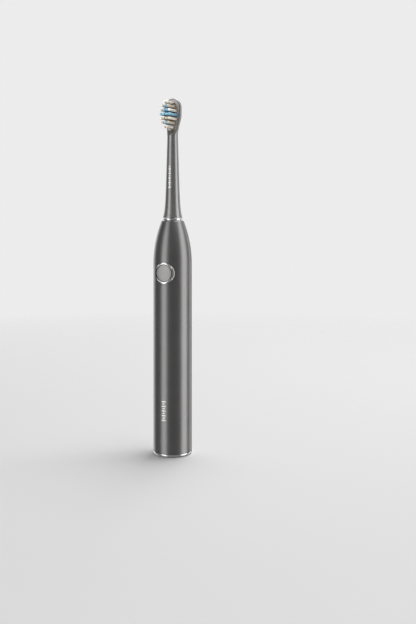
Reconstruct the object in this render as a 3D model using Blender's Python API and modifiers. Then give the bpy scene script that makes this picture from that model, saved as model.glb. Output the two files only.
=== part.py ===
"""Electric toothbrush: a sonic drive in a metal handle, a pull-off brush head, USB-C charging.

Frame: metres, +Z up along the brush, origin at the centre of the flat base.
The button and the bristles face -Y, the charging socket faces +Y.
"""
import math

import bmesh
import bpy
from mathutils import Vector
from mathutils.geometry import interpolate_bezier

MM = 0.001

# Clearances
GAP = 0.3 * MM            # between pieces that rest on each other
SEAM = 0.15 * MM          # between trim pieces where the joint line shows
RUNNING = 0.2 * MM        # round a part that turns or slides

# Handle sleeve
HANDLE_R = 13.5 * MM
SLEEVE_WALL = 1.1 * MM
SLEEVE_BOTTOM = 2.4 * MM
SLEEVE_TOP = 163.8 * MM        # the handle's length without its neck ring
SHOULDER_LENGTH = 30.2 * MM
SHOULDER_TOP_R = 7.7 * MM

# Base
BASE_RING_WIDTH = 1.9 * MM
BASE_FACE_R = HANDLE_R - BASE_RING_WIDTH - GAP
BASE_RING_FOOT = 0.35 * MM     # the bright ring stays this far above the floor
BASE_RING_ROUND = 1.5 * MM
BASE_PLUG_TOP = 10.0 * MM
BASE_PLUG_WALL = 2.6 * MM

# Round button
BUTTON_BELOW_TOP = 36.3 * MM
BUTTON_Z = SLEEVE_TOP - BUTTON_BELOW_TOP
BEZEL_R = 7.45 * MM
BEZEL_WIDTH = 1.45 * MM
BEZEL_LAND = 0.4 * MM          # flat rim round the cap; outside it the bezel slopes to the handle
BEZEL_PROUD = 0.15 * MM
CAP_CROWN = 0.4 * MM
CAP_THICKNESS = 1.3 * MM
BUTTON_TRAVEL = 0.5 * MM
BUTTON_SEAL_THICKNESS = 0.5 * MM
BEZEL_LEDGE = 1.3 * MM         # height of the bezel's foot, which the diaphragm lies on
LEDGE_WIDTH = 1.0 * MM
POST_R = 1.6 * MM

# Neck of the handle
NECK_RING_R = 6.8 * MM
NECK_RING_HEIGHT = 1.5 * MM
NECK_RING_WALL = 1.45 * MM
SPIGOT_R = NECK_RING_R - NECK_RING_WALL - SEAM
HEAD_GAP = 0.35 * MM           # open joint between the handle's neck ring and the head

# Drive
SHAFT_R = 1.9 * MM
SHAFT_FLAT = 0.5 * MM          # how deep the flat is milled
SHAFT_ENGAGED = 26.0 * MM      # length of shaft inside the head
MOTOR_R = 6.9 * MM
MOTOR_LENGTH = 38.0 * MM
MOTOR_BELOW_TOP = 18.2 * MM
MOTOR_TOP = SLEEVE_TOP - MOTOR_BELOW_TOP
CAN_WALL = 0.6 * MM
CAN_FACE = 1.2 * MM
BEARING_WALL = 0.9 * MM
ROTOR_R = 3.6 * MM
MAGNET_WALL = 1.1 * MM

# Power and electronics
CELL_R = 7.0 * MM
CELL_LENGTH = 65.0 * MM
CELL_BOTTOM = 27.5 * MM
CELL_END_SPACE = 3.5 * MM      # room over the cell for its tab
BOARD_BACK = MOTOR_R + 2 * GAP     # distance of the board's rear side in front of the axis
BOARD_THICKNESS = 1.0 * MM
BOARD_HALF_WIDTH = 7.0 * MM
BOARD_BOTTOM = 12.0 * MM
SWITCH_HALF = 2.6 * MM
SCREW_R = 0.75 * MM
SCREW_HEAD_R = 1.5 * MM

# Inner frame
FRAME_WALL = 1.1 * MM
DISC_THICKNESS = 2.5 * MM
DAMPER_SPACE = 2.0 * MM        # from the motor to the upper plate
FRAME_MIDDLE = CELL_BOTTOM + CELL_LENGTH + CELL_END_SPACE   # underside of the plate over the cell
CELL_Y = HANDLE_R - SLEEVE_WALL - GAP - FRAME_WALL - GAP - CELL_R   # the cell stands behind the handle's axis

# Charging socket and its cover
PORT_Z = 17.0 * MM
SOCKET_HALF_WIDTH = 4.47 * MM
SOCKET_HALF_HEIGHT = 1.6 * MM
SOCKET_LENGTH = 7.1 * MM
SOCKET_WALL = 0.3 * MM
PORT_DEPTH = 2.2 * MM          # how deep the socket's face lies behind the handle's surface
PORT_FACE_Y = HANDLE_R - PORT_DEPTH
COVER_HALF_WIDTH = 5.9 * MM
COVER_HALF_HEIGHT = 4.8 * MM
COVER_EDGE = 0.5 * MM          # radius of the cover's edge round its hinge
COVER_HINGE_Y = HANDLE_R - COVER_EDGE
MOULDING_MARGIN = 1.6 * MM     # how far the socket's moulding reaches past the cover on each side

# Brush head
HEAD_LENGTH = 84.2 * MM
RING_BOTTOM = SLEEVE_TOP + SEAM
RING_TOP = RING_BOTTOM + NECK_RING_HEIGHT
HEAD_BOTTOM = RING_TOP + HEAD_GAP
BRUSH_TOP = HEAD_BOTTOM + HEAD_LENGTH
NECK_TOP_R = 3.65 * MM
NECK_TOP_Z = BRUSH_TOP - 23.5 * MM
NECK_TAPER = 0.0285            # growth of the neck's radius per unit of length
FLARE = 1.55 * MM
FLARE_LENGTH = 5.5 * MM
PLATE_HALF_WIDTH = 6.4 * MM
PLATE_FRONT = 1.0 * MM
PLATE_BACK = 4.3 * MM
PLATE_START = BRUSH_TOP - 26.5 * MM
PLATE_FULL = BRUSH_TOP - 11.0 * MM     # here the plate has its full width and depth
PLATE_FLAT = BRUSH_TOP - 21.8 * MM     # here its front is flat
CORE_R = SHAFT_R + 1.5 * MM
CORE_WALL_TOP = 1.4 * MM
CLIP_Z = HEAD_BOTTOM + 10.0 * MM
CLIP_HALF = 1.5 * MM

# Bristles
TUFT_PITCH_Z = 2.9 * MM
TUFT_PITCH_X = 2.2 * MM
TUFT_R = 0.85 * MM
TUFT_ROWS = (2, 3, 4, 4, 4, 3, 2)
TUFT_REACH = 12.3 * MM         # the longest tips' distance in front of the axis
TUFT_DROP = 0.11 * MM          # each row away from the middle is shorter by this times its number squared
STRIP_HALF = 1.0 * MM
STRIP_DEPTH = 1.0 * MM

SLEEVE_STEPS = 48
ROUND_STEPS = 40
SMALL_STEPS = 24
HEAD_STEPS = 28
FAR = 30.0 * MM                # reach of a cutter that must pass right through

for old in list(bpy.data.objects):
    bpy.data.objects.remove(old, do_unlink=True)

parts = bpy.data.collections.new("electric_toothbrush")
cutters = bpy.data.collections.new("cutters")
bpy.context.scene.collection.children.link(parts)
bpy.context.scene.collection.children.link(cutters)


def finish(name, color, roughness, metallic=0.0):
    """A plain Principled material."""
    made = bpy.data.materials.new(name)
    made.use_nodes = True
    shader = made.node_tree.nodes["Principled BSDF"]
    shader.inputs["Base Color"].default_value = (*color, 1.0)
    shader.inputs["Roughness"].default_value = roughness
    shader.inputs["Metallic"].default_value = metallic
    made.diffuse_color = (*color, 1.0)
    return made


GUNMETAL = finish("gunmetal", (0.11, 0.105, 0.10), 0.32, 0.9)
BRIGHT_TRIM = finish("bright_trim", (0.78, 0.78, 0.78), 0.12, 1.0)
BASE_PLASTIC = finish("base_plastic", (0.06, 0.06, 0.06), 0.5)
BUTTON_FACE = finish("button_face", (0.10, 0.10, 0.10), 0.35, 0.6)
SEAL_RUBBER = finish("seal_rubber", (0.04, 0.04, 0.04), 0.6)
FRAME_PLASTIC = finish("frame_plastic", (0.75, 0.75, 0.72), 0.5)
BOARD_GREEN = finish("board_green", (0.02, 0.16, 0.07), 0.45)
CHIP_BLACK = finish("chip_black", (0.02, 0.02, 0.02), 0.5)
STEEL = finish("steel", (0.6, 0.6, 0.6), 0.28, 1.0)
MAGNET = finish("magnet", (0.42, 0.42, 0.44), 0.3, 1.0)
COPPER = finish("copper", (0.70, 0.32, 0.14), 0.35, 1.0)
BEARING_BRONZE = finish("bearing_bronze", (0.55, 0.38, 0.18), 0.4, 1.0)
CELL_WRAP = finish("cell_wrap", (0.05, 0.22, 0.45), 0.4)
NICKEL = finish("nickel", (0.62, 0.60, 0.56), 0.3, 1.0)
HEAD_PLASTIC = finish("head_plastic", (0.13, 0.128, 0.125), 0.35, 0.3)
CORE_PLASTIC = finish("core_plastic", (0.80, 0.80, 0.78), 0.45)
BRISTLE_WHITE = finish("bristle_white", (0.75, 0.71, 0.63), 0.6)
BRISTLE_CREAM = finish("bristle_cream", (0.55, 0.47, 0.34), 0.6)
BRISTLE_BLUE = finish("bristle_blue", (0.14, 0.38, 0.62), 0.6)
WIRE_RED = finish("wire_red", (0.5, 0.03, 0.02), 0.45)
WIRE_BLACK = finish("wire_black", (0.02, 0.02, 0.02), 0.45)


def place(name, data, look, at=(0, 0, 0)):
    """A new object in the parts collection."""
    made = bpy.data.objects.new(name, data)
    made.location = at
    data.materials.append(look)
    parts.objects.link(made)
    return made


def turned(name, profile, look, at=(0, 0, 0), forward=False, steps=ROUND_STEPS):
    """Solid of revolution; its (radius, height) points run down the outer side, and forward lays it along -Y."""
    mesh = bpy.data.meshes.new(name)
    links = [(i, i + 1) for i in range(len(profile) - 1)]
    if profile[0][0] > 0:
        links.append((len(profile) - 1, 0))
    mesh.from_pydata([(r, 0.0, z) for r, z in profile], links, [])
    made = place(name, mesh, look, at)
    if forward:
        made.rotation_euler = (math.pi / 2, 0, 0)
    turn = made.modifiers.new("turn", "SCREW")
    turn.axis = "Z"
    turn.angle = 2 * math.pi
    turn.steps = steps
    turn.render_steps = steps
    turn.use_merge_vertices = True
    turn.merge_threshold = 0.000001
    turn.use_smooth_shade = True
    return made


def ring(name, inner, outer, low, high, look, **how):
    """Plain ring or bush with a square section."""
    return turned(name, [(outer, high), (outer, low), (inner, low), (inner, high)], look, **how)


def rod(name, radius, low, high, look, **how):
    """Plain round bar."""
    return turned(name, [(0, high), (radius, high), (radius, low), (0, low)], look, **how)


def arc(center, radius, start, end, steps=4):
    """Points of a profile on a round edge, from one angle to the other in degrees."""
    angles = [math.radians(start + (end - start) * i / steps) for i in range(steps + 1)]
    return [(center[0] + radius * math.cos(a), center[1] + radius * math.sin(a)) for a in angles]


def block(name, low, high, look, corner=0.0, along="Y"):
    """Box from its lowest to its highest corner, with the four edges along one axis rounded."""
    bm = bmesh.new()
    bmesh.ops.create_cube(bm, size=1.0)
    size = [h - l for l, h in zip(low, high)]
    bmesh.ops.scale(bm, vec=size, verts=bm.verts)
    if corner:
        axis = "XYZ".index(along)
        edges = [e for e in bm.edges if abs(e.verts[0].co[axis] - e.verts[1].co[axis]) > size[axis] / 2]
        bmesh.ops.bevel(bm, geom=edges, offset=corner, segments=4, profile=0.5, affect="EDGES")
    mesh = bpy.data.meshes.new(name)
    bm.to_mesh(mesh)
    bm.free()
    return place(name, mesh, look, [(l + h) / 2 for l, h in zip(low, high)])


def shape(target, tool, operation="DIFFERENCE"):
    """Cut, join or trim a part with a tool, which then belongs to the cutters."""
    change = target.modifiers.new(tool.name, "BOOLEAN")
    change.operation = operation
    change.solver = "EXACT"
    change.object = tool
    tool.hide_render = True
    tool.display_type = "WIRE"
    parts.objects.unlink(tool)
    cutters.objects.link(tool)
    return target


def strip(name, points, half_width, thickness, look):
    """Flat metal or flex strip through (y, z) points, as wide along X as stated."""
    mesh = bpy.data.meshes.new(name)
    corners = [(side * half_width, y, z) for y, z in points for side in (-1, 1)]
    faces = [(2 * i, 2 * i + 1, 2 * i + 3, 2 * i + 2) for i in range(len(points) - 1)]
    mesh.from_pydata(corners, [], faces)
    made = place(name, mesh, look)
    wall = made.modifiers.new("thickness", "SOLIDIFY")
    wall.thickness = thickness
    wall.offset = 0
    return made


def wire(name, start, end, start_pull, end_pull, radius, look):
    """Insulated lead along one smooth curve from start to end."""
    curve = bpy.data.curves.new(name, "CURVE")
    curve.dimensions = "3D"
    curve.bevel_depth = radius
    curve.bevel_resolution = 2
    curve.use_fill_caps = True
    path = interpolate_bezier(Vector(start), Vector(start_pull), Vector(end_pull), Vector(end), 9)
    spline = curve.splines.new("POLY")
    spline.points.add(len(path) - 1)
    for point, place_on_path in zip(spline.points, path):
        point.co = (*place_on_path, 1.0)
    return place(name, curve, look)


def joint_axis(name, at):
    """Empty that stands on a joint's axis."""
    empty = bpy.data.objects.new(name, None)
    empty.location = at
    empty.empty_display_size = 5 * MM
    parts.objects.link(empty)
    return empty


def hang_on(empty, *pieces):
    """Parent pieces to a joint's empty without moving them."""
    for piece in pieces:
        piece.parent = empty
        piece.location = piece.location - empty.location


def sleeve_radius(z):
    """Outer radius of the sleeve: a cylinder, then a shoulder arc that starts tangent to it."""
    drop = HANDLE_R - SHOULDER_TOP_R
    radius = (SHOULDER_LENGTH ** 2 + drop ** 2) / (2 * drop)
    along = max(0.0, z - (SLEEVE_TOP - SHOULDER_LENGTH))
    return HANDLE_R - (radius - math.sqrt(radius ** 2 - along ** 2))


def bore_radius(z):
    """Inner radius of the sleeve."""
    return sleeve_radius(z) - SLEEVE_WALL


def heights(low, high, steps):
    return [low + (high - low) * i / steps for i in range(steps + 1)]


def make_sleeve():
    edge = 0.35 * MM
    start = SLEEVE_TOP - SHOULDER_LENGTH
    outer = [(sleeve_radius(z), z) for z in reversed(heights(start, SLEEVE_TOP - edge, 8))]
    inner = [(bore_radius(z), z) for z in heights(start, SLEEVE_TOP, 6)]
    lip = arc((sleeve_radius(SLEEVE_TOP) - edge, SLEEVE_TOP - edge), edge, 90, 30, 2)
    profile = lip + outer + [(HANDLE_R, SLEEVE_BOTTOM), (HANDLE_R - SLEEVE_WALL, SLEEVE_BOTTOM)] + inner
    sleeve = turned("handle_sleeve", profile, GUNMETAL, steps=SLEEVE_STEPS)
    shape(sleeve, rod("button_hole", BEZEL_R + SEAM, 0, FAR, CHIP_BLACK, at=(0, 0, BUTTON_Z), forward=True))
    window = block(
        "port_window",
        (-COVER_HALF_WIDTH - SEAM, 0, PORT_Z - COVER_HALF_HEIGHT - GAP),
        (COVER_HALF_WIDTH + SEAM, FAR, PORT_Z + COVER_HALF_HEIGHT + GAP),
        CHIP_BLACK, corner=1.5 * MM,
    )
    shape(sleeve, window)


def make_base():
    ring_top = SLEEVE_BOTTOM - SEAM
    inner = BASE_FACE_R + GAP
    foot = arc((HANDLE_R - BASE_RING_ROUND, BASE_RING_FOOT + BASE_RING_ROUND), BASE_RING_ROUND, 0, -80, 5)
    turned("base_ring", [(inner, ring_top), (HANDLE_R, ring_top)] + foot + [(inner, BASE_RING_FOOT)], BRIGHT_TRIM,
           steps=SLEEVE_STEPS)

    edge = 0.4 * MM
    plug_r = HANDLE_R - SLEEVE_WALL - GAP
    plug_low = SLEEVE_BOTTOM + GAP
    seal_z = (plug_low + BASE_PLUG_TOP) / 2
    seal_half = 0.55 * MM
    groove_r = plug_r - 2 * seal_half - GAP
    cup_r = plug_r - BASE_PLUG_WALL
    turned("base_cap", [
        (0, plug_low), (cup_r, plug_low), (cup_r, BASE_PLUG_TOP), (plug_r, BASE_PLUG_TOP),
        (plug_r, seal_z + seal_half + GAP), (groove_r, seal_z + seal_half + GAP),
        (groove_r, seal_z - seal_half - GAP), (plug_r, seal_z - seal_half - GAP),
        (plug_r, plug_low), (BASE_FACE_R, plug_low), *arc((BASE_FACE_R - edge, edge), edge, 0, -90, 3), (0, 0),
    ], BASE_PLASTIC)
    ring("base_seal", groove_r + GAP, plug_r, seal_z - seal_half, seal_z + seal_half, SEAL_RUBBER)


def bezel_loop(rows):
    """Closed ring round the button's axis through (radius, height) rows.

    Each height is a function of the distance across the handle, so a row can follow the handle's curve.
    """
    angles = [2 * math.pi * i / ROUND_STEPS for i in range(ROUND_STEPS)]
    corners = [
        (r * math.cos(a), -height(r * math.cos(a)), BUTTON_Z + r * math.sin(a)) for r, height in rows for a in angles
    ]
    faces = []
    for row in range(len(rows)):
        first, second = row * ROUND_STEPS, (row + 1) % len(rows) * ROUND_STEPS
        for i in range(ROUND_STEPS):
            j = (i + 1) % ROUND_STEPS
            faces.append((first + j, first + i, second + i, second + j))
    mesh = bpy.data.meshes.new("button_bezel")
    mesh.from_pydata(corners, [], faces)
    place("button_bezel", mesh, BRIGHT_TRIM)


def make_button():
    """Bezel, cap and diaphragm; heights here are distances in front of the handle's axis."""
    face = HANDLE_R + BEZEL_PROUD
    hole = BEZEL_R - BEZEL_WIDTH
    at = (0, 0, BUTTON_Z)
    under = face - CAP_CROWN - CAP_THICKNESS
    seal_top = under - BUTTON_TRAVEL - GAP
    ledge = seal_top - BUTTON_SEAL_THICKNESS - GAP
    ledge_r = max(hole - LEDGE_WIDTH, SWITCH_HALF * math.sqrt(2) + GAP)
    inside_wall = math.sqrt(bore_radius(BUTTON_Z) ** 2 - BEZEL_R ** 2)
    foot = max(min(ledge - BEZEL_LEDGE, inside_wall - GAP), BOARD_FRONT + GAP)
    land = hole + BEZEL_LAND
    bezel_loop([
        (hole, lambda x: face), (land, lambda x: face),
        (BEZEL_R, lambda x: math.sqrt(HANDLE_R ** 2 - x ** 2) + SEAM / 3), (BEZEL_R, lambda x: foot),
        (ledge_r, lambda x: foot), (ledge_r, lambda x: ledge), (hole, lambda x: ledge),
    ])

    cap_r = hole - RUNNING
    cap_edge = 0.25 * MM
    cap_top = face - CAP_CROWN
    plunger = SWITCH_TOP + BUTTON_TRAVEL + SEAM
    crown = [(cap_r * t, face - CAP_CROWN * t * t) for t in (0, 0.25, 0.5, 0.75, 0.93)]
    cap = turned("button_cap", [
        *crown, *arc((cap_r - cap_edge, cap_top - cap_edge), cap_edge, 60, 0, 2), (cap_r, under),
        (POST_R, under), (POST_R, plunger), (0, plunger),
    ], BUTTON_FACE, at=at, forward=True)
    hang_on(joint_axis("button_travel", (0, -face, BUTTON_Z)), cap)

    ring("button_seal", POST_R + GAP, hole - GAP, ledge + GAP, seal_top, SEAL_RUBBER, at=at, forward=True)


BOARD_FRONT = BOARD_BACK + BOARD_THICKNESS
SWITCH_BODY_TOP = BOARD_FRONT + SEAM + 1.3 * MM
SWITCH_TOP = SWITCH_BODY_TOP + 0.45 * MM


def on_board(name, z, half_width, half_height, thickness, look):
    """Component that lies on the board's front side."""
    rear = -BOARD_FRONT - SEAM
    return block(name, (-half_width, rear - thickness, z - half_height), (half_width, rear, z + half_height), look)


def make_electronics():
    board_top = BUTTON_Z + 9.5 * MM
    board = block("control_board", (-BOARD_HALF_WIDTH, -BOARD_FRONT, BOARD_BOTTOM),
                  (BOARD_HALF_WIDTH, -BOARD_BACK, board_top), BOARD_GREEN, corner=1.0 * MM)
    head_height = 0.9 * MM
    shank = 4.0 * MM
    for name, z in SCREWS.items():
        shape(board, rod(name + "_hole", SCREW_R + GAP, 0, FAR, CHIP_BLACK, at=(0, 0, z), forward=True, steps=16))
        under = BOARD_FRONT + SEAM
        turned(name, [(0, under + head_height), (SCREW_HEAD_R - GAP, under + head_height), (SCREW_HEAD_R, under),
                      (SCREW_R, under), (SCREW_R, under - shank), (0, under - shank)],
               STEEL, at=(0, 0, z), forward=True, steps=16)

    on_board("controller_chip", BUTTON_Z - 19.5 * MM, 2.5 * MM, 2.5 * MM, 0.9 * MM, CHIP_BLACK)
    on_board("motor_driver_chip", FRAME_MIDDLE - 8 * MM, 2.0 * MM, 2.5 * MM, 0.9 * MM, CHIP_BLACK)
    on_board("charger_chip", CELL_BOTTOM + 6.5 * MM, 1.6 * MM, 2.0 * MM, 0.8 * MM, CHIP_BLACK)
    switch = on_board("tact_switch", BUTTON_Z, SWITCH_HALF, SWITCH_HALF, SWITCH_BODY_TOP - BOARD_FRONT - SEAM,
                      CHIP_BLACK)
    shape(switch, rod("switch_plunger", POST_R, BOARD_FRONT + 2 * SEAM, SWITCH_TOP, CHIP_BLACK,
                      at=(0, 0, BUTTON_Z), forward=True, steps=24), "UNION")


def make_power():
    cell_top = CELL_BOTTOM + CELL_LENGTH
    edge = 0.4 * MM
    turned("battery_cell", [(0, cell_top), *arc((CELL_R - edge, cell_top - edge), edge, 90, 0, 2),
                            *arc((CELL_R - edge, CELL_BOTTOM + edge), edge, 0, -90, 2), (0, CELL_BOTTOM)],
           CELL_WRAP, at=(0, CELL_Y, 0), steps=SMALL_STEPS)
    tab = 0.3 * MM
    reach = -BOARD_BACK + GAP
    heights = {"battery_tab_positive": cell_top + GAP + tab / 2, "battery_tab_negative": CELL_BOTTOM - GAP - tab / 2}
    for name, z in heights.items():
        strip(name, [(CELL_Y + CELL_R / 3, z), (reach, z)], 2.0 * MM, tab, NICKEL)


SCREWS = {
    "board_screw_lower": CELL_BOTTOM - 2 * GAP - 0.3 * MM - DISC_THICKNESS / 2,
    "board_screw_upper": FRAME_MIDDLE + DISC_THICKNESS / 2,
}


def channel(name, held_r, y, low, high):
    """Trough round a cylinder of the held radius, open in front."""
    inner = held_r + GAP
    outer = inner + FRAME_WALL
    trough = ring(name, inner, outer, low, high, FRAME_PLASTIC, at=(0, y, 0))
    front = block(name + "_front", (-FAR, -FAR, 0), (FAR, y - outer / 2, 2 * SLEEVE_TOP), CHIP_BLACK)
    return shape(trough, front)


def make_inner_frame():
    """Two channels, one for the cell and one for the motor, with a plate at each end and one between them."""
    lower_plate = SCREWS["board_screw_lower"] - DISC_THICKNESS / 2
    upper_plate = MOTOR_TOP + DAMPER_SPACE
    overlap = DISC_THICKNESS / 2
    middle = FRAME_MIDDLE + overlap
    frame = channel("inner_frame", CELL_R, CELL_Y, lower_plate + overlap, middle - SEAM)
    shape(frame, channel("motor_channel", MOTOR_R, 0, middle + SEAM, upper_plate + overlap), "UNION")
    for name, z in (("lower_plate", lower_plate), ("middle_plate", FRAME_MIDDLE), ("upper_plate", upper_plate)):
        top = z + DISC_THICKNESS
        plate = rod(name, bore_radius(top) - GAP, z, top, FRAME_PLASTIC)
        plate.rotation_euler = (0, 0, math.pi / ROUND_STEPS)
        shape(frame, plate, "UNION")
    shape(frame, block("board_side", (-FAR, -FAR, 0), (FAR, -BOARD_BACK + GAP, 2 * SLEEVE_TOP), CHIP_BLACK))
    shape(frame, rod("shaft_passage", SHAFT_R + 3 * GAP, upper_plate - GAP, upper_plate + DISC_THICKNESS + GAP,
                     CHIP_BLACK, steps=SMALL_STEPS))
    for name, z in SCREWS.items():
        shape(frame, rod(name + "_socket", SCREW_R + GAP, 0, FAR, CHIP_BLACK, at=(0, 0, z), forward=True, steps=16))
    return upper_plate + DISC_THICKNESS


def make_motor():
    """Stationary half: can, coils, end cap, bearings, damper and leads."""
    bottom = MOTOR_TOP - MOTOR_LENGTH
    inside = MOTOR_R - CAN_WALL
    bearing_in = SHAFT_R + RUNNING
    bearing_out = bearing_in + BEARING_WALL
    seat = bearing_out + GAP
    turned("motor_can", [(seat, MOTOR_TOP), (MOTOR_R, MOTOR_TOP), (MOTOR_R, bottom), (inside, bottom),
                         (inside, MOTOR_TOP - CAN_FACE), (seat, MOTOR_TOP - CAN_FACE)], STEEL)
    cap_low = bottom + GAP
    cap_high = cap_low + 3.0 * MM
    ring("motor_end_cap", seat, inside - GAP, cap_low, cap_high, BASE_PLASTIC, steps=SMALL_STEPS)
    ring("rear_bearing", bearing_in, bearing_out, cap_low, cap_high, BEARING_BRONZE, steps=SMALL_STEPS)
    ring("front_bearing", bearing_in, bearing_out, MOTOR_TOP - 2 * CAN_FACE, MOTOR_TOP, BEARING_BRONZE,
         steps=SMALL_STEPS)

    coil_in = ROTOR_R + GAP + MAGNET_WALL + GAP
    coil_out = inside - GAP
    low = cap_high + 2.0 * MM
    high = MOTOR_TOP - 2 * CAN_FACE - 2.0 * MM
    middle = (low + high) / 2
    ring("coil_lower", coil_in, coil_out, low, middle - 0.5 * MM, COPPER)
    ring("coil_upper", coil_in, coil_out, middle + 0.5 * MM, high, COPPER)
    ring("damper_ring", seat + 1.0 * MM, MOTOR_R - GAP, MOTOR_TOP + GAP, MOTOR_TOP + DAMPER_SPACE - GAP, SEAL_RUBBER,
         steps=SMALL_STEPS)

    for name, side, look in (("motor_lead_red", 1, WIRE_RED), ("motor_lead_black", -1, WIRE_BLACK)):
        x = side * (MOTOR_R - CAN_WALL) * 0.66
        z = (bottom + FRAME_MIDDLE + DISC_THICKNESS) / 2
        wire(name, (x, 0, bottom - GAP), (x, -BOARD_BACK + GAP, z), (x, 0, z), (x, -2 * MM, z), 0.45 * MM, look)
    return low, high


def make_drive(rotor_low, rotor_high):
    """Turning half: shaft, rotor core and two magnets."""
    motor_bottom = MOTOR_TOP - MOTOR_LENGTH
    tip = HEAD_BOTTOM + SHAFT_ENGAGED
    edge = 0.4 * MM
    clip = CLIP_Z
    clip_half = CLIP_HALF + GAP
    notch_r = SHAFT_R - GAP
    shaft = turned("drive_shaft", [
        (0, tip), (SHAFT_R - edge, tip), (SHAFT_R, tip - edge), (SHAFT_R, clip + clip_half),
        (notch_r, clip + clip_half), (notch_r, clip - clip_half), (SHAFT_R, clip - clip_half),
        (SHAFT_R, motor_bottom - 1.0 * MM), (0, motor_bottom - 1.0 * MM),
    ], STEEL, steps=SMALL_STEPS)
    shape(shaft, block("shaft_flat_cut", (-FAR, -FAR, HEAD_BOTTOM + 6 * MM), (FAR, SHAFT_FLAT - SHAFT_R, tip + FAR),
                       CHIP_BLACK))
    core = ring("rotor_core", SHAFT_R + RUNNING, ROTOR_R, rotor_low, rotor_high, STEEL, steps=SMALL_STEPS)
    magnet_in = ROTOR_R + GAP
    magnets = []
    for name, side in (("magnet_left", -1), ("magnet_right", 1)):
        magnet = ring(name, magnet_in, magnet_in + MAGNET_WALL - SEAM, rotor_low + 1 * MM, rotor_high - 1 * MM,
                      MAGNET, steps=SMALL_STEPS)
        edges = sorted((-side * FAR, side * 2 * GAP))
        shape(magnet, block(name + "_half", (edges[0], -FAR, 0), (edges[1], FAR, 2 * SLEEVE_TOP), CHIP_BLACK))
        magnets.append(magnet)
    axis = joint_axis("drive_axis", (0, 0, MOTOR_TOP))
    hang_on(axis, shaft, core, *magnets)
    return axis


def make_nose(low):
    """Bulkhead in the sleeve's shoulder, its ring seal, the bright neck ring and the shaft's boot."""
    low = low + GAP
    shoulder = SLEEVE_TOP - 1.0 * MM
    top = RING_TOP
    seal_z = low + 4.0 * MM
    seal_half = 0.55 * MM
    seal_r = bore_radius(seal_z + seal_half) - GAP
    groove_r = seal_r - 2 * seal_half - GAP
    groove_top = seal_z + seal_half + GAP
    groove_low = seal_z - seal_half - GAP
    bore = SHAFT_R + 2 * GAP
    cup_r = SPIGOT_R - 1.0 * MM
    cup_floor = SLEEVE_TOP - 1.5 * MM
    outside = [(bore_radius(z) - GAP, z) for z in reversed(heights(groove_top, shoulder, 3))]
    turned("nose_bulkhead", [
        (cup_r, top), (SPIGOT_R, top), (SPIGOT_R, shoulder), *outside, (groove_r, groove_top), (groove_r, groove_low),
        (bore_radius(groove_low) - GAP, groove_low), (bore_radius(low) - GAP, low), (bore, low), (bore, cup_floor),
        (cup_r, cup_floor),
    ], BASE_PLASTIC)
    ring("nose_seal", groove_r + GAP, seal_r, seal_z - seal_half, seal_z + seal_half, SEAL_RUBBER)

    edge = 0.3 * MM
    turned("neck_ring", [
        *arc((NECK_RING_R - edge, RING_TOP - edge), edge, 90, 0, 3),
        *arc((NECK_RING_R - edge, RING_BOTTOM + edge), edge, 0, -90, 3),
        (SPIGOT_R + SEAM, RING_BOTTOM), (SPIGOT_R + SEAM, RING_TOP),
    ], BRIGHT_TRIM)

    boot_r = cup_r - GAP
    boot_low = cup_floor + GAP
    turned("shaft_boot", [
        (SHAFT_R + GAP, HEAD_BOTTOM - GAP), (SHAFT_R + 3 * GAP, HEAD_BOTTOM - GAP), (boot_r, RING_TOP - GAP),
        (boot_r, boot_low), (SHAFT_R + GAP, boot_low),
    ], SEAL_RUBBER, steps=SMALL_STEPS)


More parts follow.
